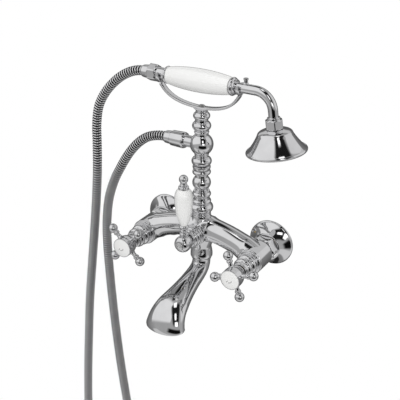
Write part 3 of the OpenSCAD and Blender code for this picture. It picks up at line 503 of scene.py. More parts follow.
def evenly(line, spacing):
    """The line resampled at even spacing, with the length along it."""
    along = np.concatenate([[0], np.cumsum(np.linalg.norm(np.diff(line, axis=0), axis=1))])
    count = int(round(along[-1] / spacing))
    at = np.linspace(0, along[-1], count + 1)
    points = np.stack([np.interp(at, along, line[:, i]) for i in range(2)], axis=1)
    return points, at


HOSE_PITCH = 3.4
HOSE_GROOVE_DEPTH = 1.3


def make_hose():
    """An interlocked metal hose: a rounded rib and a groove in every pitch, the groove faces in near-black
    metal as painted shade.
    """
    # Each step is its share of the pitch and its height over the hose's radius.
    rib_steps = [
        (0.0, -HOSE_GROOVE_DEPTH), (0.38, -HOSE_GROOVE_DEPTH), (0.44, -0.46), (0.54, -0.10),
        (0.68, 0.0), (0.82, -0.10), (0.94, -0.50),
    ]
    sides = 28
    line = smooth_route(HOSE_ROUTE, 24)
    centres, at = evenly(line, HOSE_PITCH)
    fine_line, fine_at = evenly(line, 0.25)
    radius = HOSE_D / 2
    rings = []
    weights = []
    stations = []
    for i in range(len(at) - 1):
        step = at[i + 1] - at[i]
        stations.extend((at[i] + share * step, radius + drop) for share, drop in rib_steps)
    stations.append((at[-1], radius - HOSE_GROOVE_DEPTH))
    headings = np.gradient(fine_line, axis=0)
    headings /= np.linalg.norm(headings, axis=1)[:, None]
    for s, r in stations:
        p = [np.interp(s, fine_at, fine_line[:, i]) for i in range(2)]
        h = [np.interp(s, fine_at, headings[:, i]) for i in range(2)]
        ring = []
        for k in range(sides):
            a = 2 * math.pi * k / sides
            side = r * math.sin(a)
            ring.append((p[0] - side * h[1], -REACH + r * math.cos(a), p[1] + side * h[0]))
        rings.append(ring)
        share = s / at[-1]
        weights.extend([share * share * (3 - 2 * share)] * sides)
    hose = mesh("shower_hose", [skin(rings)], None, HOSE_METAL, ["hose"])
    # The groove faces take the near-black metal, which paints the shade that falls in each groove.
    hose.data.materials.append(HOSE_GROOVE_PAINTED_SHADE)
    for face in range((len(rings) - 1) * sides):
        if (face // sides) % len(rib_steps) in (0, 1, len(rib_steps) - 1):
            hose.data.polygons[face].material_index = 1
    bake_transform(hose, "root", "hand_shower", start=(0, 0, 0), end=(0, 0, 0.1))
    # The hand shower's lift is shared out along the whole hose by length.
    attribute = hose.data.attributes["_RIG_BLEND"]
    attribute.data.foreach_set("value", np.array(weights, np.float32))


add_camera()
dress_cad_nodes()


# ---- wall connection -----------------------------------------------------

def flange(side, x):
    outline = np.vstack([
        [[0, 29.0], [1.6, 29.0]],
        curve((3.2, 27.9), (5.5, 25.0), (8.0, 21.6), (15.0, 17.6), 24),
    ])
    inner = np.vstack([
        curve((15.0, 15.6), (13.0, 15.6), (10.0, 15.6), (6.0, 18.0), 12),
        [[0.6, 26.6]],
        [[0, 27.4]],
    ])
    loop = np.vstack([outline, inner])
    closed = soft_line(np.vstack([loop, loop[:1]]), 0.25, 0.4)[:-1]
    rings = [round_ring(z, r, 128) for z, r in closed]
    shell = placed(skin(rings, closed=True), forward(x))
    mesh(side + "_wall_flange", [shell], "root", CHROME, [side + "_flange"])


def hex_prism(z1, z2, flat_r, chamfer=1.0, turn=0.0):
    """A hexagon nut's outside with turned chamfers, as rings of 96 points."""
    sides = 96
    corner_r = flat_r / math.cos(math.pi / 6)
    stations = [
        (z1, flat_r - 0.6), (z1 + 0.05, flat_r - 0.2), (z1 + chamfer * 0.6, corner_r - 0.3),
        (z1 + chamfer, corner_r + 0.1), (z2 - chamfer, corner_r + 0.1),
        (z2 - chamfer * 0.6, corner_r - 0.3), (z2 - 0.05, flat_r - 0.2), (z2, flat_r - 0.6),
    ]
    rings = []
    for z, limit in stations:
        ring = []
        for k in range(sides):
            a = 2 * math.pi * k / sides
            local = (a + turn) % (math.pi / 3) - math.pi / 6
            r = min(flat_r / math.cos(local), limit, corner_r - 0.15)
            ring.append((r * math.cos(a), r * math.sin(a), z))
        rings.append(ring)
    return skin(rings)


def union_nut(side, x):
    shells = [
        lathe(turned(8.5, 16.0, [band(8.5, 16.0, 14.5)]), forward(x)),
        placed(hex_prism(15.4, 27.4, 14.6, 1.6), forward(x)),
    ]
    mesh(side + "_union_nut_shell", shells, "root", CHROME, [side + "_union_nut"])


# ---- body ----------------------------------------------------------------

BRIDGE_RISE = 21.0
BRIDGE_RADIUS = (VALVE_X ** 2 + BRIDGE_RISE ** 2) / (2 * BRIDGE_RISE)
BRIDGE_TUBE_R = 14.5


def bridge():
    """The arched tube, swelling where it runs into the boss and the barrels."""
    half_angle = math.asin(VALVE_X / BRIDGE_RADIUS)
    centre_z = BRIDGE_RISE - BRIDGE_RADIUS
    rings = []
    for i in range(181):
        a = -half_angle + 2 * half_angle * i / 180
        x = BRIDGE_RADIUS * math.sin(a)
        z = centre_z + BRIDGE_RADIUS * math.cos(a)
        swell = 2.2 * math.exp(-max(abs(x) - 13, 0) / 4.0)
        swell += 1.2 * math.exp(-max(60 - abs(x), 0) / 4.0)
        r = BRIDGE_TUBE_R + swell
        ring = []
        for k in range(96):
            b = 2 * math.pi * k / 96
            out = r * math.sin(b)
            ring.append((x + out * math.sin(a), -REACH + r * math.cos(b), z + out * math.cos(a)))
        rings.append(ring)
    return skin(rings)


def boss():
    """The middle of the body, from the spout collar up to the column."""
    points = np.vstack([
        [[-22, 12.2], [-19.8, 12.2]],
        curve((-18.5, 13.6), (-14, 14.2), (-9, 13.0), (-6, 12.4), 16),
        curve((-4, 12.4), (0, 13.4), (4, 15.2), (15, 15.8), 16),
        curve((23, 15.8), (31, 14.8), (35, 11.5), (39, 11.5), 16),
    ])
    vertices, faces = lathe(polygon_outline(points, 0.5), Matrix.Identity(4), 360)
    # The grub screw's hole in front, with a countersunk mouth.
    hole_z = -9.0
    hole_turn = math.radians(27 - 90)
    sunk = []
    for x, y, z in vertices:
        r = math.hypot(x, y)
        around = (math.atan2(y, x) - hole_turn) * r
        away = math.hypot(around, z - hole_z)
        depth = 1.9 if away < 2.1 else max(0, 1.3 * (3.5 - away) / 1.4)
        share = max(r - depth, 0) / r if r > 6 else 1
        sunk.append((x * share, y * share, z))
    return placed((sunk, faces), column())


def barrel(x):
    shapes = [
        band(22.2, 28.4, 9.4), band(28, 31, 14.0, 16.0), band(31, 58.8, 16.0),
        band(58.8, 61, 15.2),
    ]
    return lathe(turned(22.2, 61, shapes, 0.5), forward(x))


def mixer_body():
    shells = [
        bridge(),
        boss(),
        barrel(-VALVE_X),
        barrel(VALVE_X),
        lathe(turned(43, 62, [band(43, 62, 14)], 0.4), forward(0, DIVERTER_Z)),
    ]
    mesh("mixer_body_shell", shells, "root", CHROME, ["mixer_body"])


# ---- valves and handles --------------------------------------------------

def valve_bonnet(side, x):
    shapes = [
        band(61.2, 64, 13.4), bead(67.2, 7, 13.2), band(64, 83, 10.0),
        bead(75.6, 7.4, 12.2), band(79, 84, 8.8),
    ]
    shell = lathe(turned(61.2, 84, shapes), forward(x))
    mesh(side + "_bonnet_shell", [shell], "root", CHROME, [side + "_bonnet"])


def handle_arm(turn):
    """One arm: a waisted spoke, a small collar and a ball."""
    spoke = np.vstack([
        [[6, 5.0]],
        curve((6, 5.0), (10, 4.0), (12.5, 2.9), (14, 2.6), 14),
        [[17.4, 2.5]],
        curve((17.6, 2.9), (17.8, 4.0), (20.4, 4.0), (20.6, 3.0), 10),
        [[22.5, 2.6]],
    ])
    outline = polygon_outline(spoke, 0.2, 0.25)
    globe = turned(ARM_LEN - ARM_BALL_R, ARM_LEN + ARM_BALL_R, [ball(ARM_LEN, ARM_BALL_R)], 0.05)
    angle = math.radians(turn)
    direction = (math.cos(angle), math.sin(angle), 0)
    across = (-math.sin(angle), math.cos(angle), 0)
    place = frame_matrix((0, 0, HANDLE_REACH), across, (0, 0, 1), direction)
    return [lathe(outline, place, 48), lathe(globe, place, 64)]


def cross_handle(side, x, turn):
    hub = np.vstack([
        [[86, 8.6]],
        curve((87, 8.6), (90.5, 9.0), (92.5, 12.2), (98.5, 12.4), 20),
        curve((101.5, 12.4), (103.6, 12.2), (105.6, 12.3), (107.6, 12.3), 14),
        [[107.6, 11.5], [106.0, 11.4]],
    ])
    shells = [lathe(polygon_outline(hub, 0.25), Matrix.Identity(4))]
    for k in range(4):
        shells.extend(handle_arm(90 + turn + 90 * k))
    shells = [placed(shell, forward(x)) for shell in shells]
    mesh(side + "_cross_handle", shells, side + "_valve", CHROME, [side + "_handle"])


def index_button(side, x):
    dome = np.array([
        (BUTTON_FACE + 1.5 * (1 - (r / BUTTON_R) ** 2), r) for r in np.linspace(11.3, 0.0, 30)
    ])
    points = np.vstack([[[105.2, 0], [105.2, BUTTON_R], [107.4, BUTTON_R]], dome])
    outline = soft_line(points, 0.15, 0.25)
    shell = lathe(outline, forward(x))
    mesh(side + "_index_button", [shell], side + "_valve", PORCELAIN, [side + "_button"])
    strokes = [(-2.6, -1.5, 1.7, 58), (0.2, -2.6, 1.5, 12), (2.6, -1.0, 1.4, 75)]
    face_marks(side + "_index_mark", side + "_valve", forward(x), 109.06, strokes)


def face_marks(name, body, place, front, marks):
    """Short enamelled strokes on a face, each as (x, y, half length, turn)."""
    shells = []
    for x, y, half, turn in marks:
        a = math.radians(turn)
        outline = []
        for k in range(20):
            b = 2 * math.pi * k / 20
            along = half * math.copysign(abs(math.cos(b)) ** 0.6, math.cos(b))
            across = 0.32 * math.sin(b)
            outline.append((
                x + along * math.cos(a) - across * math.sin(a),
                y + along * math.sin(a) + across * math.cos(a),
            ))
        rings = [[(u, v, front - 0.5) for u, v in outline], [(u, v, front) for u, v in outline]]
        shells.append(placed(skin(rings), place))
    mesh(name, shells, body, ENAMEL)


# ---- diverter ------------------------------------------------------------

def diverter_parts():
    place = forward(0, DIVERTER_Z)
    bonnet = [
        band(62.2, 64.4, 13.0), bead(66.6, 4.6, 12.4), band(64, 75, 9.6), bead(71.2, 4.6, 11.4),
    ]
    shell = lathe(turned(62.2, 75, bonnet, 0.3), place)
    mesh("diverter_bonnet_shell", [shell], "root", CHROME, ["diverter_bonnet"])
    hub = np.vstack([
        [[76, 7.0]],
        curve((76.8, 7.2), (77.6, 9.0), (80.4, 10.2), (84, 10.2), 16),
        curve((88.4, 10.2), (92.6, 9.2), (94.3, 7.0), (94.5, 5.3), 20),
        [[94.5, 5.1], [93.6, 5.0]],
    ])
    stub_place = Matrix.Translation((0, -LEVER_REACH, DIVERTER_Z))
    stub = lathe(turned(0, 10.4, [band(0, 10.4, 5.2)], 0.3), stub_place)
    shells = [lathe(polygon_outline(hub, 0.25), place), stub]
    mesh("diverter_hub_shell", shells, "diverter", CHROME, ["diverter_hub"])
    cap = np.array([(94.4, 4.7)] + [
        (96.5 - 0.9 * (r / 4.7) ** 2, r) for r in np.linspace(4.6, 0.0, 16)
    ])
    shell = lathe(soft_line(np.vstack([[[94.0, 0]], cap]), 0.12, 0.2), place, 64)
    mesh("diverter_index_cap", [shell], "diverter", BRUSHED, ["diverter_cap"])
    dots = [(-1.5, 0.2, 0.5, 0), (1.5, 0.2, 0.5, 0)]
    face_marks("diverter_cap_mark", "diverter", place, 96.5, dots)


LEVER_BOTTOM = 41.0
LEVER_TOP = 88.0


def lever_parts():
    ferrule = [
        band(27.4, 40, 3.9), bead(29.6, 3.4, 5.4), bead(33.8, 2.4, 4.8), bead(38.8, 4.4, 6.0),
    ]
    shell = lathe(turned(27.4, 41, ferrule, 0.2, 0.2), lever(), 72)
    mesh("lever_lower_collar", [shell], "diverter", CHROME, ["lever_ferrule"])
    shape = np.vstack([
        [[LEVER_BOTTOM, 4.4]],
        curve((LEVER_BOTTOM + 0.6, 4.4), (LEVER_BOTTOM + 9, 8.8), (LEVER_BOTTOM + 20, 10.8),
              (LEVER_BOTTOM + 33, 11.0), 30),
        curve((LEVER_TOP - 12, 11.0), (LEVER_TOP - 5, 11.0), (LEVER_TOP - 1.5, 8.6),
              (LEVER_TOP - 0.2, 6.0), 24),
    ])
    outline = polygon_outline(shape, 0.4, 0.6)
    sides = 192
    flutes = 16
    rings = []
    for z, r in outline:
        # Shallow flutes that fade out towards both ends.
        share = np.clip((z - LEVER_BOTTOM) / (LEVER_TOP - LEVER_BOTTOM), 0, 1)
        depth = 0.16 * math.sin(math.pi * share) * min(r / 8, 1)
        ring = []
        for k in range(sides):
            a = 2 * math.pi * k / sides
            fluted = max(r - depth * (0.5 + 0.5 * math.cos(flutes * a)), AXIS_R)
            ring.append((fluted * math.cos(a), fluted * math.sin(a), z))
        rings.append(ring)
    shell = placed(skin(rings), lever())
    mesh("lever_porcelain_body", [shell], "diverter", PORCELAIN, ["lever_porcelain"])
    top = LEVER_TOP
    finial = [
        band(top, top + 1.2, 6.2), bead(top + 2, 3.2, 6.2), band(top, top + 9, 3.6),
        bead(top + 5.2, 2.0, 4.4), ball(top + 11.8, 5.4),
    ]
    shell = lathe(turned(top, top + 17.2, finial, 0.15, 0.2), lever(), 72)
    mesh("lever_finial_ball", [shell], "diverter", CHROME, ["lever_finial"])


# ---- spout ---------------------------------------------------------------

SPOUT_REACH = 85.5
SPOUT_TOP = -22.3
SPOUT_TOP_R = 11.2
SPOUT_WALL = 2.2
MOUTH_HALF_W = 26.0
MOUTH_HALF_D = 14.5
MOUTH_Z = -76.0
MOUTH_TILT = math.radians(10)


def spout_path(t):
    """Distance in front of the column's axis and height at t from 0 to 1."""
    reach = SPOUT_REACH
    if t < 0.3:
        return cubic((0, SPOUT_TOP), (0, SPOUT_TOP - 13), (reach * 0.13, -38),
                     (reach * 0.31, -42.5), t / 0.3)
    if t < 0.75:
        return cubic((reach * 0.31, -42.5), (reach * 0.46, -46.5), (reach * 0.62, -50),
                     (reach * 0.76, -54), (t - 0.3) / 0.45)
    return cubic((reach * 0.76, -54), (reach * 0.88, -57.5), (reach * 0.97, -63),
                 (reach, MOUTH_Z), (t - 0.75) / 0.25)


def spout_ring(t, inset, sides=144):
    """The spout's section at t, a little smaller by inset, turning level at the mouth."""
    p = spout_path(t)
    if t > 0.985:
        heading = np.array([math.sin(-MOUTH_TILT), -math.cos(MOUTH_TILT)])
        near = spout_path(0.97)
        approach = spout_path(0.985) - near
        approach /= np.linalg.norm(approach)
        mix = min((t - 0.985) / 0.015, 1)
        heading = approach * (1 - mix) + heading * mix
    else:
        heading = spout_path(min(t + 0.01, 1)) - spout_path(max(t - 0.01, 0))
    heading = heading / np.linalg.norm(heading)
    w = SPOUT_TOP_R + (MOUTH_HALF_W - SPOUT_TOP_R) * t ** 2 - inset
    d = SPOUT_TOP_R + (MOUTH_HALF_D - SPOUT_TOP_R) * t ** 2.4 - inset
    ring = []
    for k in range(sides):
        a = 2 * math.pi * k / sides
        side = d * math.sin(a)
        ring.append((
            -w * math.cos(a),
            -REACH - p[0] + side * heading[1],
            p[1] + side * heading[0],
        ))
    return ring


def spout():
    outer = [spout_ring(t, 0) for t in np.linspace(0, 0.97, 90)]
    lip = [
        spout_ring(0.985, -0.15), spout_ring(0.994, -0.1), spout_ring(1.0, 0.3),
        spout_ring(1.0, 1.1), spout_ring(0.996, 1.8), spout_ring(0.985, SPOUT_WALL),
    ]
    inner = [spout_ring(t, SPOUT_WALL) for t in np.linspace(0.97, 0.06, 60)]
    tail = lathe(turned(-23, -6, [band(-23, -6, 8.5)], 0.2), column())
    shells = [skin(outer + lip + inner), tail]
    mesh("spout_shell", shells, "swing_spout", CHROME, ["spout"])


# ---- column --------------------------------------------------------------

def column_parts():
    base = [
        band(39, 70.6, 9.8), band(39.2, 41.4, 11.4), bead(48, 12.4, 14.2),
        bead(56.6, 4.8, 11.6), bead(65.8, 7, 11.4),
    ]
    mesh("column_base_shell", [lathe(turned(39, 70.6, base), column())], "root", CHROME,
         ["column_base"])
    stem = [
        band(70.6, 116, 7.8), bead(80.6, 19, 11.2), bead(94.4, 6.4, 11.1), band(99, 103, 10.6),
        bead(101, 4, 10.9), bead(108.4, 11, 12.1),
    ]
    mesh("column_stem_shell", [lathe(turned(70.6, 116, stem), column())], "root", CHROME,
         ["column_stem"])
    centre = [
        band(116, 146.4, 8.2), bead(145, 2.6, 9.0), bead(117.4, 2.6, 8.8), ball(OUTLET_Z, 14.0),
    ]
    neck = [
        band(8, 22.9, 7.0), band(22.9, 28, 7.4),
    ]
    shells = [
        lathe(turned(116, 146.4, centre), column()),
        lathe(turned(8, 28, neck, 0.25), outlet()),
    ]
    mesh("outlet_ball_shell", shells, "root", CHROME, ["outlet_ball"])
    top = [
        band(146.4, 169.4, 7.8), bead(152.6, 11, 11.2), bead(164.8, 8.4, 10.0),
    ]
    mesh("column_top_shell", [lathe(turned(146.4, 169.4, top), column())], "root", CHROME,
         ["column_top"])


# ---- cradle --------------------------------------------------------------

PEDESTAL_TOP = 174.5
LEFT_FORK_X = 54.5
RIGHT_FORK_X = 49.5
LEFT_FORK_R = 7.9
RIGHT_FORK_R = 6.1
STRAP_W = 8.5
STRAP_T = 3.2


def strap_height(x):
    """The underside of the strap at distance x from the column, as in the part."""
    end, fork_r = (LEFT_FORK_X, LEFT_FORK_R) if x < 0 else (RIGHT_FORK_X, RIGHT_FORK_R)
    share = abs(x) / end
    low = PEDESTAL_TOP - 1.4
    high = HANDSET_Z - fork_r - 1.2 - STRAP_T
    return low + 11.5 * share ** 2 + (high - low - 11.5) * share ** 6


def strap_shell():
    """A strap with a rounded section that dips in the middle."""
    rings = []
    xs = [-LEFT_FORK_X * (1 - i / 40) for i in range(40)]
    xs += [RIGHT_FORK_X * i / 40 for i in range(41)]
    for x in xs:
        lean = math.atan2(strap_height(x + 0.3) - strap_height(x - 0.3), 0.6)
        lean = max(-1.2, min(1.2, lean))
        middle = strap_height(x) + STRAP_T / 2
        ring = []
        for k in range(32):
            a = 2 * math.pi * (k + 0.5) / 32
            across = math.copysign(abs(math.cos(a)) ** 0.45, math.cos(a)) * STRAP_W / 2
            up = math.copysign(abs(math.sin(a)) ** 0.75, math.sin(a)) * STRAP_T / 2
            ring.append((x - up * math.sin(lean), -REACH + across, middle + up * math.cos(lean)))
        rings.append(ring)
    return skin(rings)


def fork_shell(x, inner):
    """A saddle with straight prongs and rounded edges, open at the top."""
    wall = 2.4
    prong = 4.0
    depth = 2.5
    step = 0.3
    middle = inner + wall / 2
    path = [(middle, prong - step * i) for i in range(int(prong / step) + 1)]
    path += [
        (middle * math.cos(a), middle * math.sin(a)) for a in np.linspace(0, -math.pi, 49)
    ]
    path += [(-middle, step * i) for i in range(1, int(prong / step) + 1)]
    path[0] = (middle, prong - 0.5)
    path[-1] = (-middle, prong - 0.5)
    rings = []
    for i, (y, z) in enumerate(path):
        before = path[max(i - 1, 0)]
        after = path[min(i + 1, len(path) - 1)]
        heading = np.array([after[0] - before[0], after[1] - before[1]])
        heading /= np.linalg.norm(heading)
        out = (heading[1], -heading[0])
        ring = []
        for k in range(24):
            a = 2 * math.pi * (k + 0.5) / 24
            along = math.copysign(abs(math.cos(a)) ** 0.5, math.cos(a)) * depth
            thick = math.copysign(abs(math.sin(a)) ** 0.5, math.sin(a)) * wall / 2
            ring.append((
                x + along,
                -REACH + y + thick * out[0],
                HANDSET_Z + z + thick * out[1],
            ))
        rings.append(ring)
    ends = []
    for ring in (rings[0], rings[-1]):
        centre = np.mean(ring, axis=0)
        ends.append([tuple(centre + (np.array(p) - centre) * 0.6 + (0, 0, 0.45)) for p in ring])
    return skin([ends[0]] + rings + [ends[1]])


def cradle():
    trumpet = np.vstack([
        [[169.4, 7.0]],
        curve((170.4, 7.0), (171.4, 6.6), (173.1, 8.0), (173.9, 9.5), 20),
    ])
    shells = [
        lathe(polygon_outline(trumpet, 0.25), column(), 72),
        strap_shell(),
        fork_shell(-LEFT_FORK_X, LEFT_FORK_R),
        fork_shell(RIGHT_FORK_X, RIGHT_FORK_R),
    ]
    mesh("hand_shower_cradle", shells, "root", CHROME, ["cradle"])


# ---- hose fittings -------------------------------------------------------

def hose_fittings():
    nut = [band(21.9, 24.2, 9.2, 9.9), band(24.2, 40.1, 9.9, 9.3)]
    mesh("hose_nut_lower", [lathe(turned(21.9, 40.1, nut, 0.3), outlet())], "root", CHROME,
         ["lower_nut"])
    sleeve = [band(29.6, 50.5, 5.8), band(40.5, 48.5, 8.3, 7.6), band(48.5, 50.5, 7.6, 6.5)]
    mesh("hose_sleeve_lower", [lathe(turned(29.6, 50.5, sleeve, 0.35), outlet())], "root",
         CHROME, ["lower_ferrule"])
    shell = placed(hex_prism(59.0, 70.1, 9.26, 1.6), tail_outlet())
    mesh("hose_nut_upper", [shell], "hand_shower", CHROME, ["upper_nut"])
    sleeve = [band(66.6, 80, 5.8), band(70.4, 78, 8.2, 7.4), band(78, 80, 7.4, 6.5)]
    mesh("hose_sleeve_upper", [lathe(turned(66.6, 80, sleeve, 0.35), tail_outlet())],
         "hand_shower", CHROME, ["upper_ferrule"])


mixer_body()
for side, x in (("hot", -VALVE_X), ("cold", VALVE_X)):
    flange(side, x)
    union_nut(side, x)
    valve_bonnet(side, x)
    index_button(side, x)
cross_handle("hot", -VALVE_X, HOT_TURN)
cross_handle("cold", VALVE_X, COLD_TURN)
diverter_parts()
lever_parts()
spout()
column_parts()
cradle()


# ---- hand shower ---------------------------------------------------------

GRIP_LEFT = -44.0
GRIP_RIGHT = 38.0
COLLAR_END = 46.0
GRIP_R = 13.7
GRIP_END_R = 10.0


def grip():
    middle = (GRIP_LEFT + GRIP_RIGHT) / 2
    shape = np.vstack([
        curve((GRIP_LEFT, GRIP_END_R), (GRIP_LEFT + 10, 11.9), (middle - 18, GRIP_R),
              (middle, GRIP_R), 40),
        curve((middle + 1, GRIP_R), (middle + 18, GRIP_R), (GRIP_RIGHT - 10, 11.9),
              (GRIP_RIGHT, GRIP_END_R), 40),
    ])
    shell = lathe(polygon_outline(shape, 0.4, 0.6), along_handset(), 128)
    mesh("handset_porcelain_grip", [shell], "hand_shower", PORCELAIN, ["handset_grip"])


def handset_metal():
    cap = [bead(-45.7, 2.6, 10.5), band(-47, GRIP_LEFT, 9.2)]
    mesh("handset_end_cap", [lathe(turned(-47, GRIP_LEFT, cap, 0.15, 0.2), along_handset())],
         "hand_shower", CHROME, ["handset_cap"])
    collar = [
        band(GRIP_RIGHT, COLLAR_END - 0.6, 8.4), bead(GRIP_RIGHT + 2.6, 5.2, 10.6),
        bead(GRIP_RIGHT + 6, 3.6, 8.8),
    ]
    mesh("handset_front_collar",
         [lathe(turned(GRIP_RIGHT, COLLAR_END - 0.6, collar, 0.2, 0.2), along_handset())],
         "hand_shower", CHROME, ["handset_collar"])


def neck():
    """The bent tube with its rest peg, from the collar down to the head nut."""
    centres = [(COLLAR_END - 2 + i, HANDSET_Z, 1.0, 0.0) for i in np.arange(0, 24, 1.2)]
    for i in range(41):
        a = math.radians((90 - HEAD_TILT) * i / 40)
        centres.append((
            BEND_X + NECK_BEND_R * math.sin(a),
            HANDSET_Z - NECK_BEND_R + NECK_BEND_R * math.cos(a),
            math.cos(a), -math.sin(a),
        ))
    x, z, hx, hz = centres[-1]
    centres += [(x + hx * s, z + hz * s, hx, hz) for s in np.arange(1, 11, 1.0)]
    rings = []
    for x, z, hx, hz in centres:
        ring = []
        for k in range(64):
            a = 2 * math.pi * k / 64
            side = NECK_R * math.sin(a)
            ring.append((x - side * hz, -REACH + NECK_R * math.cos(a), z + side * hx))
        rings.append(ring)
    peg_place = Matrix.Translation((COLLAR_END + 10.4, -REACH, 0))
    peg = [
        band(HANDSET_Z + 3, HANDSET_Z + 12, 2.3), bead(HANDSET_Z + 6, 2.0, 3.0),
        band(HANDSET_Z + 10.2, HANDSET_Z + 12, 2.8),
    ]
    shells = [
        skin(rings),
        lathe(turned(HANDSET_Z + 3, HANDSET_Z + 12.2, peg, 0.15, 0.15), peg_place, 48),
        lathe(turned(8, 21.5, [band(8, 21.5, 7.4)], 0.3), head(), 64),
    ]
    mesh("handset_bent_neck", shells, "hand_shower", CHROME, ["handset_neck"])


def shower_head():
    shell = placed(hex_prism(10.5, 21.2, 9.3, 1.4), head())
    mesh("head_nut_shell", [shell], "hand_shower", CHROME, ["head_nut"])
    start = 21.5
    rim_z = start + 27.5
    outside = np.vstack([
        [[start, 7.4]],
        curve((start, 10), (start + 1, 13), (start + 1, 18.2), (start + 4.6, 20.0), 16),
        curve((start + 7, 21.0), (start + 12, 23.8), (start + 20, 29.0), (rim_z - 3.6, 33.8), 30),
        [(rim_z - 2.4 - 2.3 * math.cos(a), 32.7 + 2.3 * math.sin(a))
         for a in np.linspace(0.6, 2.9, 12)],
        [[rim_z - 1.0, 31.9], [rim_z - 4.0, 31.6]],
        [[rim_z - 4.2, 7.4]],
    ])
    rings = [round_ring(z, r, 144) for z, r in soft_line(outside, 0.25, 0.4)]
    mesh("shower_bell_shell", [placed(skin(rings), head())], "hand_shower", CHROME,
         ["shower_bell"])


grip()
handset_metal()
neck()
shower_head()
hose_fittings()
make_hose()


# ---- stage ---------------------------------------------------------------

def emitter(name, strength):
    """A plain glow for the floor."""
    material, _, _, shader = new_material(name)
    shader.inputs["Base Color"].default_value = (0, 0, 0, 1)
    shader.inputs["Roughness"].default_value = 1.0
    shader.inputs["Specular IOR Level"].default_value = 0.0
    shader.inputs["Emission Color"].default_value = (1, 1, 1, 1)
    shader.inputs["Emission Strength"].default_value = strength
    material.cycles.emission_sampling = "NONE"
    return material


def add_floor():
    """A plain white floor. The chrome sees the studio's own grey instead of it."""
    size = 8.0
    data = bpy.data.meshes.new("floor")
    z = cad_box[0][2] - 0.01
    data.from_pydata([(-size, -size, z), (size, -size, z), (size, size, z), (-size, size, z)],
                     [], [(0, 1, 2, 3)])
    floor = bpy.data.objects.new("floor", data)
    bpy.context.scene.collection.objects.link(floor)
    data.materials.append(emitter("floor_white", 1.0))
    floor.visible_glossy = False
    floor.visible_diffuse = False
    floor.visible_shadow = False


STUDIO_CENTRE = Vector((0, -0.07, 0.06))
FILL_DISTANCE = 1.6


def studio_direction(right, up):
    """A direction by its angles right of and above the photographer's place."""
    h = math.radians(right)
    v = math.radians(up)
    return (
        VIEW_RIGHT * (math.sin(h) * math.cos(v))
        + VIEW_UP * math.sin(v)
        + VIEW_BACK * (math.cos(h) * math.cos(v))
    )


def soft_emitter(name, strength, soft_x, soft_y):
    """Light or black that fades to nothing over the given share of each side."""
    material = bpy.data.materials.new(name)
    material.use_nodes = True
    nodes = material.node_tree.nodes
    links = material.node_tree.links
    nodes.clear()
    coordinates = nodes.new("ShaderNodeTexCoord")
    axes = nodes.new("ShaderNodeSeparateXYZ")
    links.new(coordinates.outputs["Generated"], axes.inputs["Vector"])
    masks = []
    for axis, soft in (("X", soft_x), ("Y", soft_y)):
        offset = nodes.new("ShaderNodeMath")
        offset.operation = "SUBTRACT"
        offset.inputs[1].default_value = 0.5
        links.new(axes.outputs[axis], offset.inputs[0])
        size = nodes.new("ShaderNodeMath")
        size.operation = "ABSOLUTE"
        links.new(offset.outputs["Value"], size.inputs[0])
        fade = nodes.new("ShaderNodeMapRange")
        fade.interpolation_type = "SMOOTHSTEP"
        fade.inputs["From Min"].default_value = 0.5
        fade.inputs["From Max"].default_value = 0.5 - soft
        links.new(size.outputs["Value"], fade.inputs["Value"])
        masks.append(fade.outputs["Result"])
    mask = nodes.new("ShaderNodeMath")
    mask.operation = "MULTIPLY"
    links.new(masks[0], mask.inputs[0])
    links.new(masks[1], mask.inputs[1])
    clear = nodes.new("ShaderNodeBsdfTransparent")
    glow = nodes.new("ShaderNodeEmission")
    glow.inputs["Strength"].default_value = strength
    mix = nodes.new("ShaderNodeMixShader")
    output = nodes.new("ShaderNodeOutputMaterial")
    links.new(mask.outputs["Value"], mix.inputs["Fac"])
    links.new(clear.outputs["BSDF"], mix.inputs[1])
    links.new(glow.outputs["Emission"], mix.inputs[2])
    links.new(mix.outputs["Shader"], output.inputs["Surface"])
    material.cycles.emission_sampling = "NONE"
    return material


def add_card(name, right, up, width, height, strength, distance=2.4, soft=(0.12, 0.12)):
    """A studio card that only reflections see, with all its sizes as angles."""
    direction = studio_direction(right, up)
    half_w = distance * math.tan(math.radians(width / 2))
    half_h = distance * math.tan(math.radians(height / 2))
    data = bpy.data.meshes.new(name)
    data.from_pydata(
        [(-half_w, -half_h, 0), (half_w, -half_h, 0), (half_w, half_h, 0), (-half_w, half_h, 0)],
        [], [(0, 1, 2, 3)])
    data.materials.append(soft_emitter(name + "_light", strength, *soft))
    card = bpy.data.objects.new(name, data)
    card_right = VIEW_UP.cross(direction)
    if card_right.length < 0.1:
        card_right = VIEW_RIGHT.copy()
    card_right.normalize()
    card_up = direction.cross(card_right)
    place = frame_matrix(STUDIO_CENTRE + direction * distance,
                         card_right, card_up, direction)
    card.matrix_world = place
    card.visible_camera = False
    card.visible_shadow = False
    card.visible_diffuse = False
    bpy.context.scene.collection.objects.link(card)


def add_fill(name, right, up, size, power):
    """A soft light for the porcelain that the chrome doesn't mirror."""
    data = bpy.data.lights.new(name, "AREA")
    data.size = size
    data.energy = power
    light = bpy.data.objects.new(name, data)
    direction = studio_direction(right, up)
    light.location = STUDIO_CENTRE + direction * FILL_DISTANCE
    light.rotation_euler = direction.to_track_quat("Z", "Y").to_euler()
    light.visible_glossy = False
    bpy.context.scene.collection.objects.link(light)


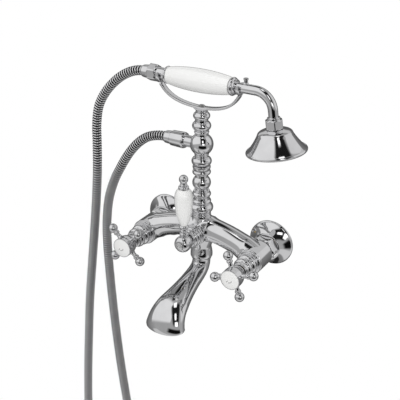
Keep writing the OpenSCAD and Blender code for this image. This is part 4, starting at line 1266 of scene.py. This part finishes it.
def add_world():
    """Grey in front of the object, and darker behind it."""
    world = bpy.data.worlds.new("studio")
    world.use_nodes = True
    nodes = world.node_tree.nodes
    links = world.node_tree.links
    coordinates = nodes.new("ShaderNodeTexCoord")
    facing = nodes.new("ShaderNodeVectorMath")
    facing.operation = "DOT_PRODUCT"
    facing.inputs[1].default_value = tuple(VIEW_BACK)
    shades = nodes.new("ShaderNodeValToRGB")
    links.new(coordinates.outputs["Generated"], facing.inputs[0])
    spread = nodes.new("ShaderNodeMapRange")
    spread.inputs["From Min"].default_value = -1.0
    spread.inputs["From Max"].default_value = 1.0
    links.new(facing.outputs["Value"], spread.inputs["Value"])
    links.new(spread.outputs["Result"], shades.inputs["Fac"])
    stops = shades.color_ramp.elements
    stops[0].position = 0.10
    stops[0].color = (0.12, 0.12, 0.12, 1)
    stops[1].position = 0.62
    stops[1].color = (0.42, 0.42, 0.42, 1)
    links.new(shades.outputs["Color"], nodes["Background"].inputs["Color"])
    nodes["Background"].inputs["Strength"].default_value = 1.0
    bpy.context.scene.world = world


add_floor()
add_world()
add_card("soft_box_left", -56, 34, 92, 84, 0.86, 2.4, (0.06, 0.16))
add_card("soft_box_right", 82, 24, 60, 66, 0.72, 2.5, (0.10, 0.16))
add_card("dark_gap", 15, 24, 58, 88, 0.012, 2.2, (0.20, 0.20))
add_card("window_low", 17, -9, 28, 18, 2.0, 2.1, (0.30, 0.30))
add_card("window_high", 11, 16, 14, 30, 2.0, 2.05, (0.30, 0.30))
add_card("window_top", 9, 58, 16, 20, 1.4, 2.05, (0.2, 0.2))
add_card("dark_top", 3, 92, 30, 40, 0.01, 2.15, (0.22, 0.2))
add_card("dark_low", 10, -40, 84, 42, 0.004, 2.1, (0.18, 0.26))
add_card("top_light", -24, 120, 130, 30, 0.60, 2.3, (0.2, 0.3))
add_card("low_reflector", 0, -86, 130, 46, 0.66, 2.4, (0.12, 0.20))
add_card("dark_far", 0, -134, 80, 26, 0.02, 2.1, (0.15, 0.20))
add_fill("fill_left", -45, 40, 1.2, 15)
add_fill("fill_right", 50, 20, 1.0, 9)
add_fill("fill_low", -10, -62, 1.2, 12)
bpy.context.scene.view_settings.view_transform = "Standard"
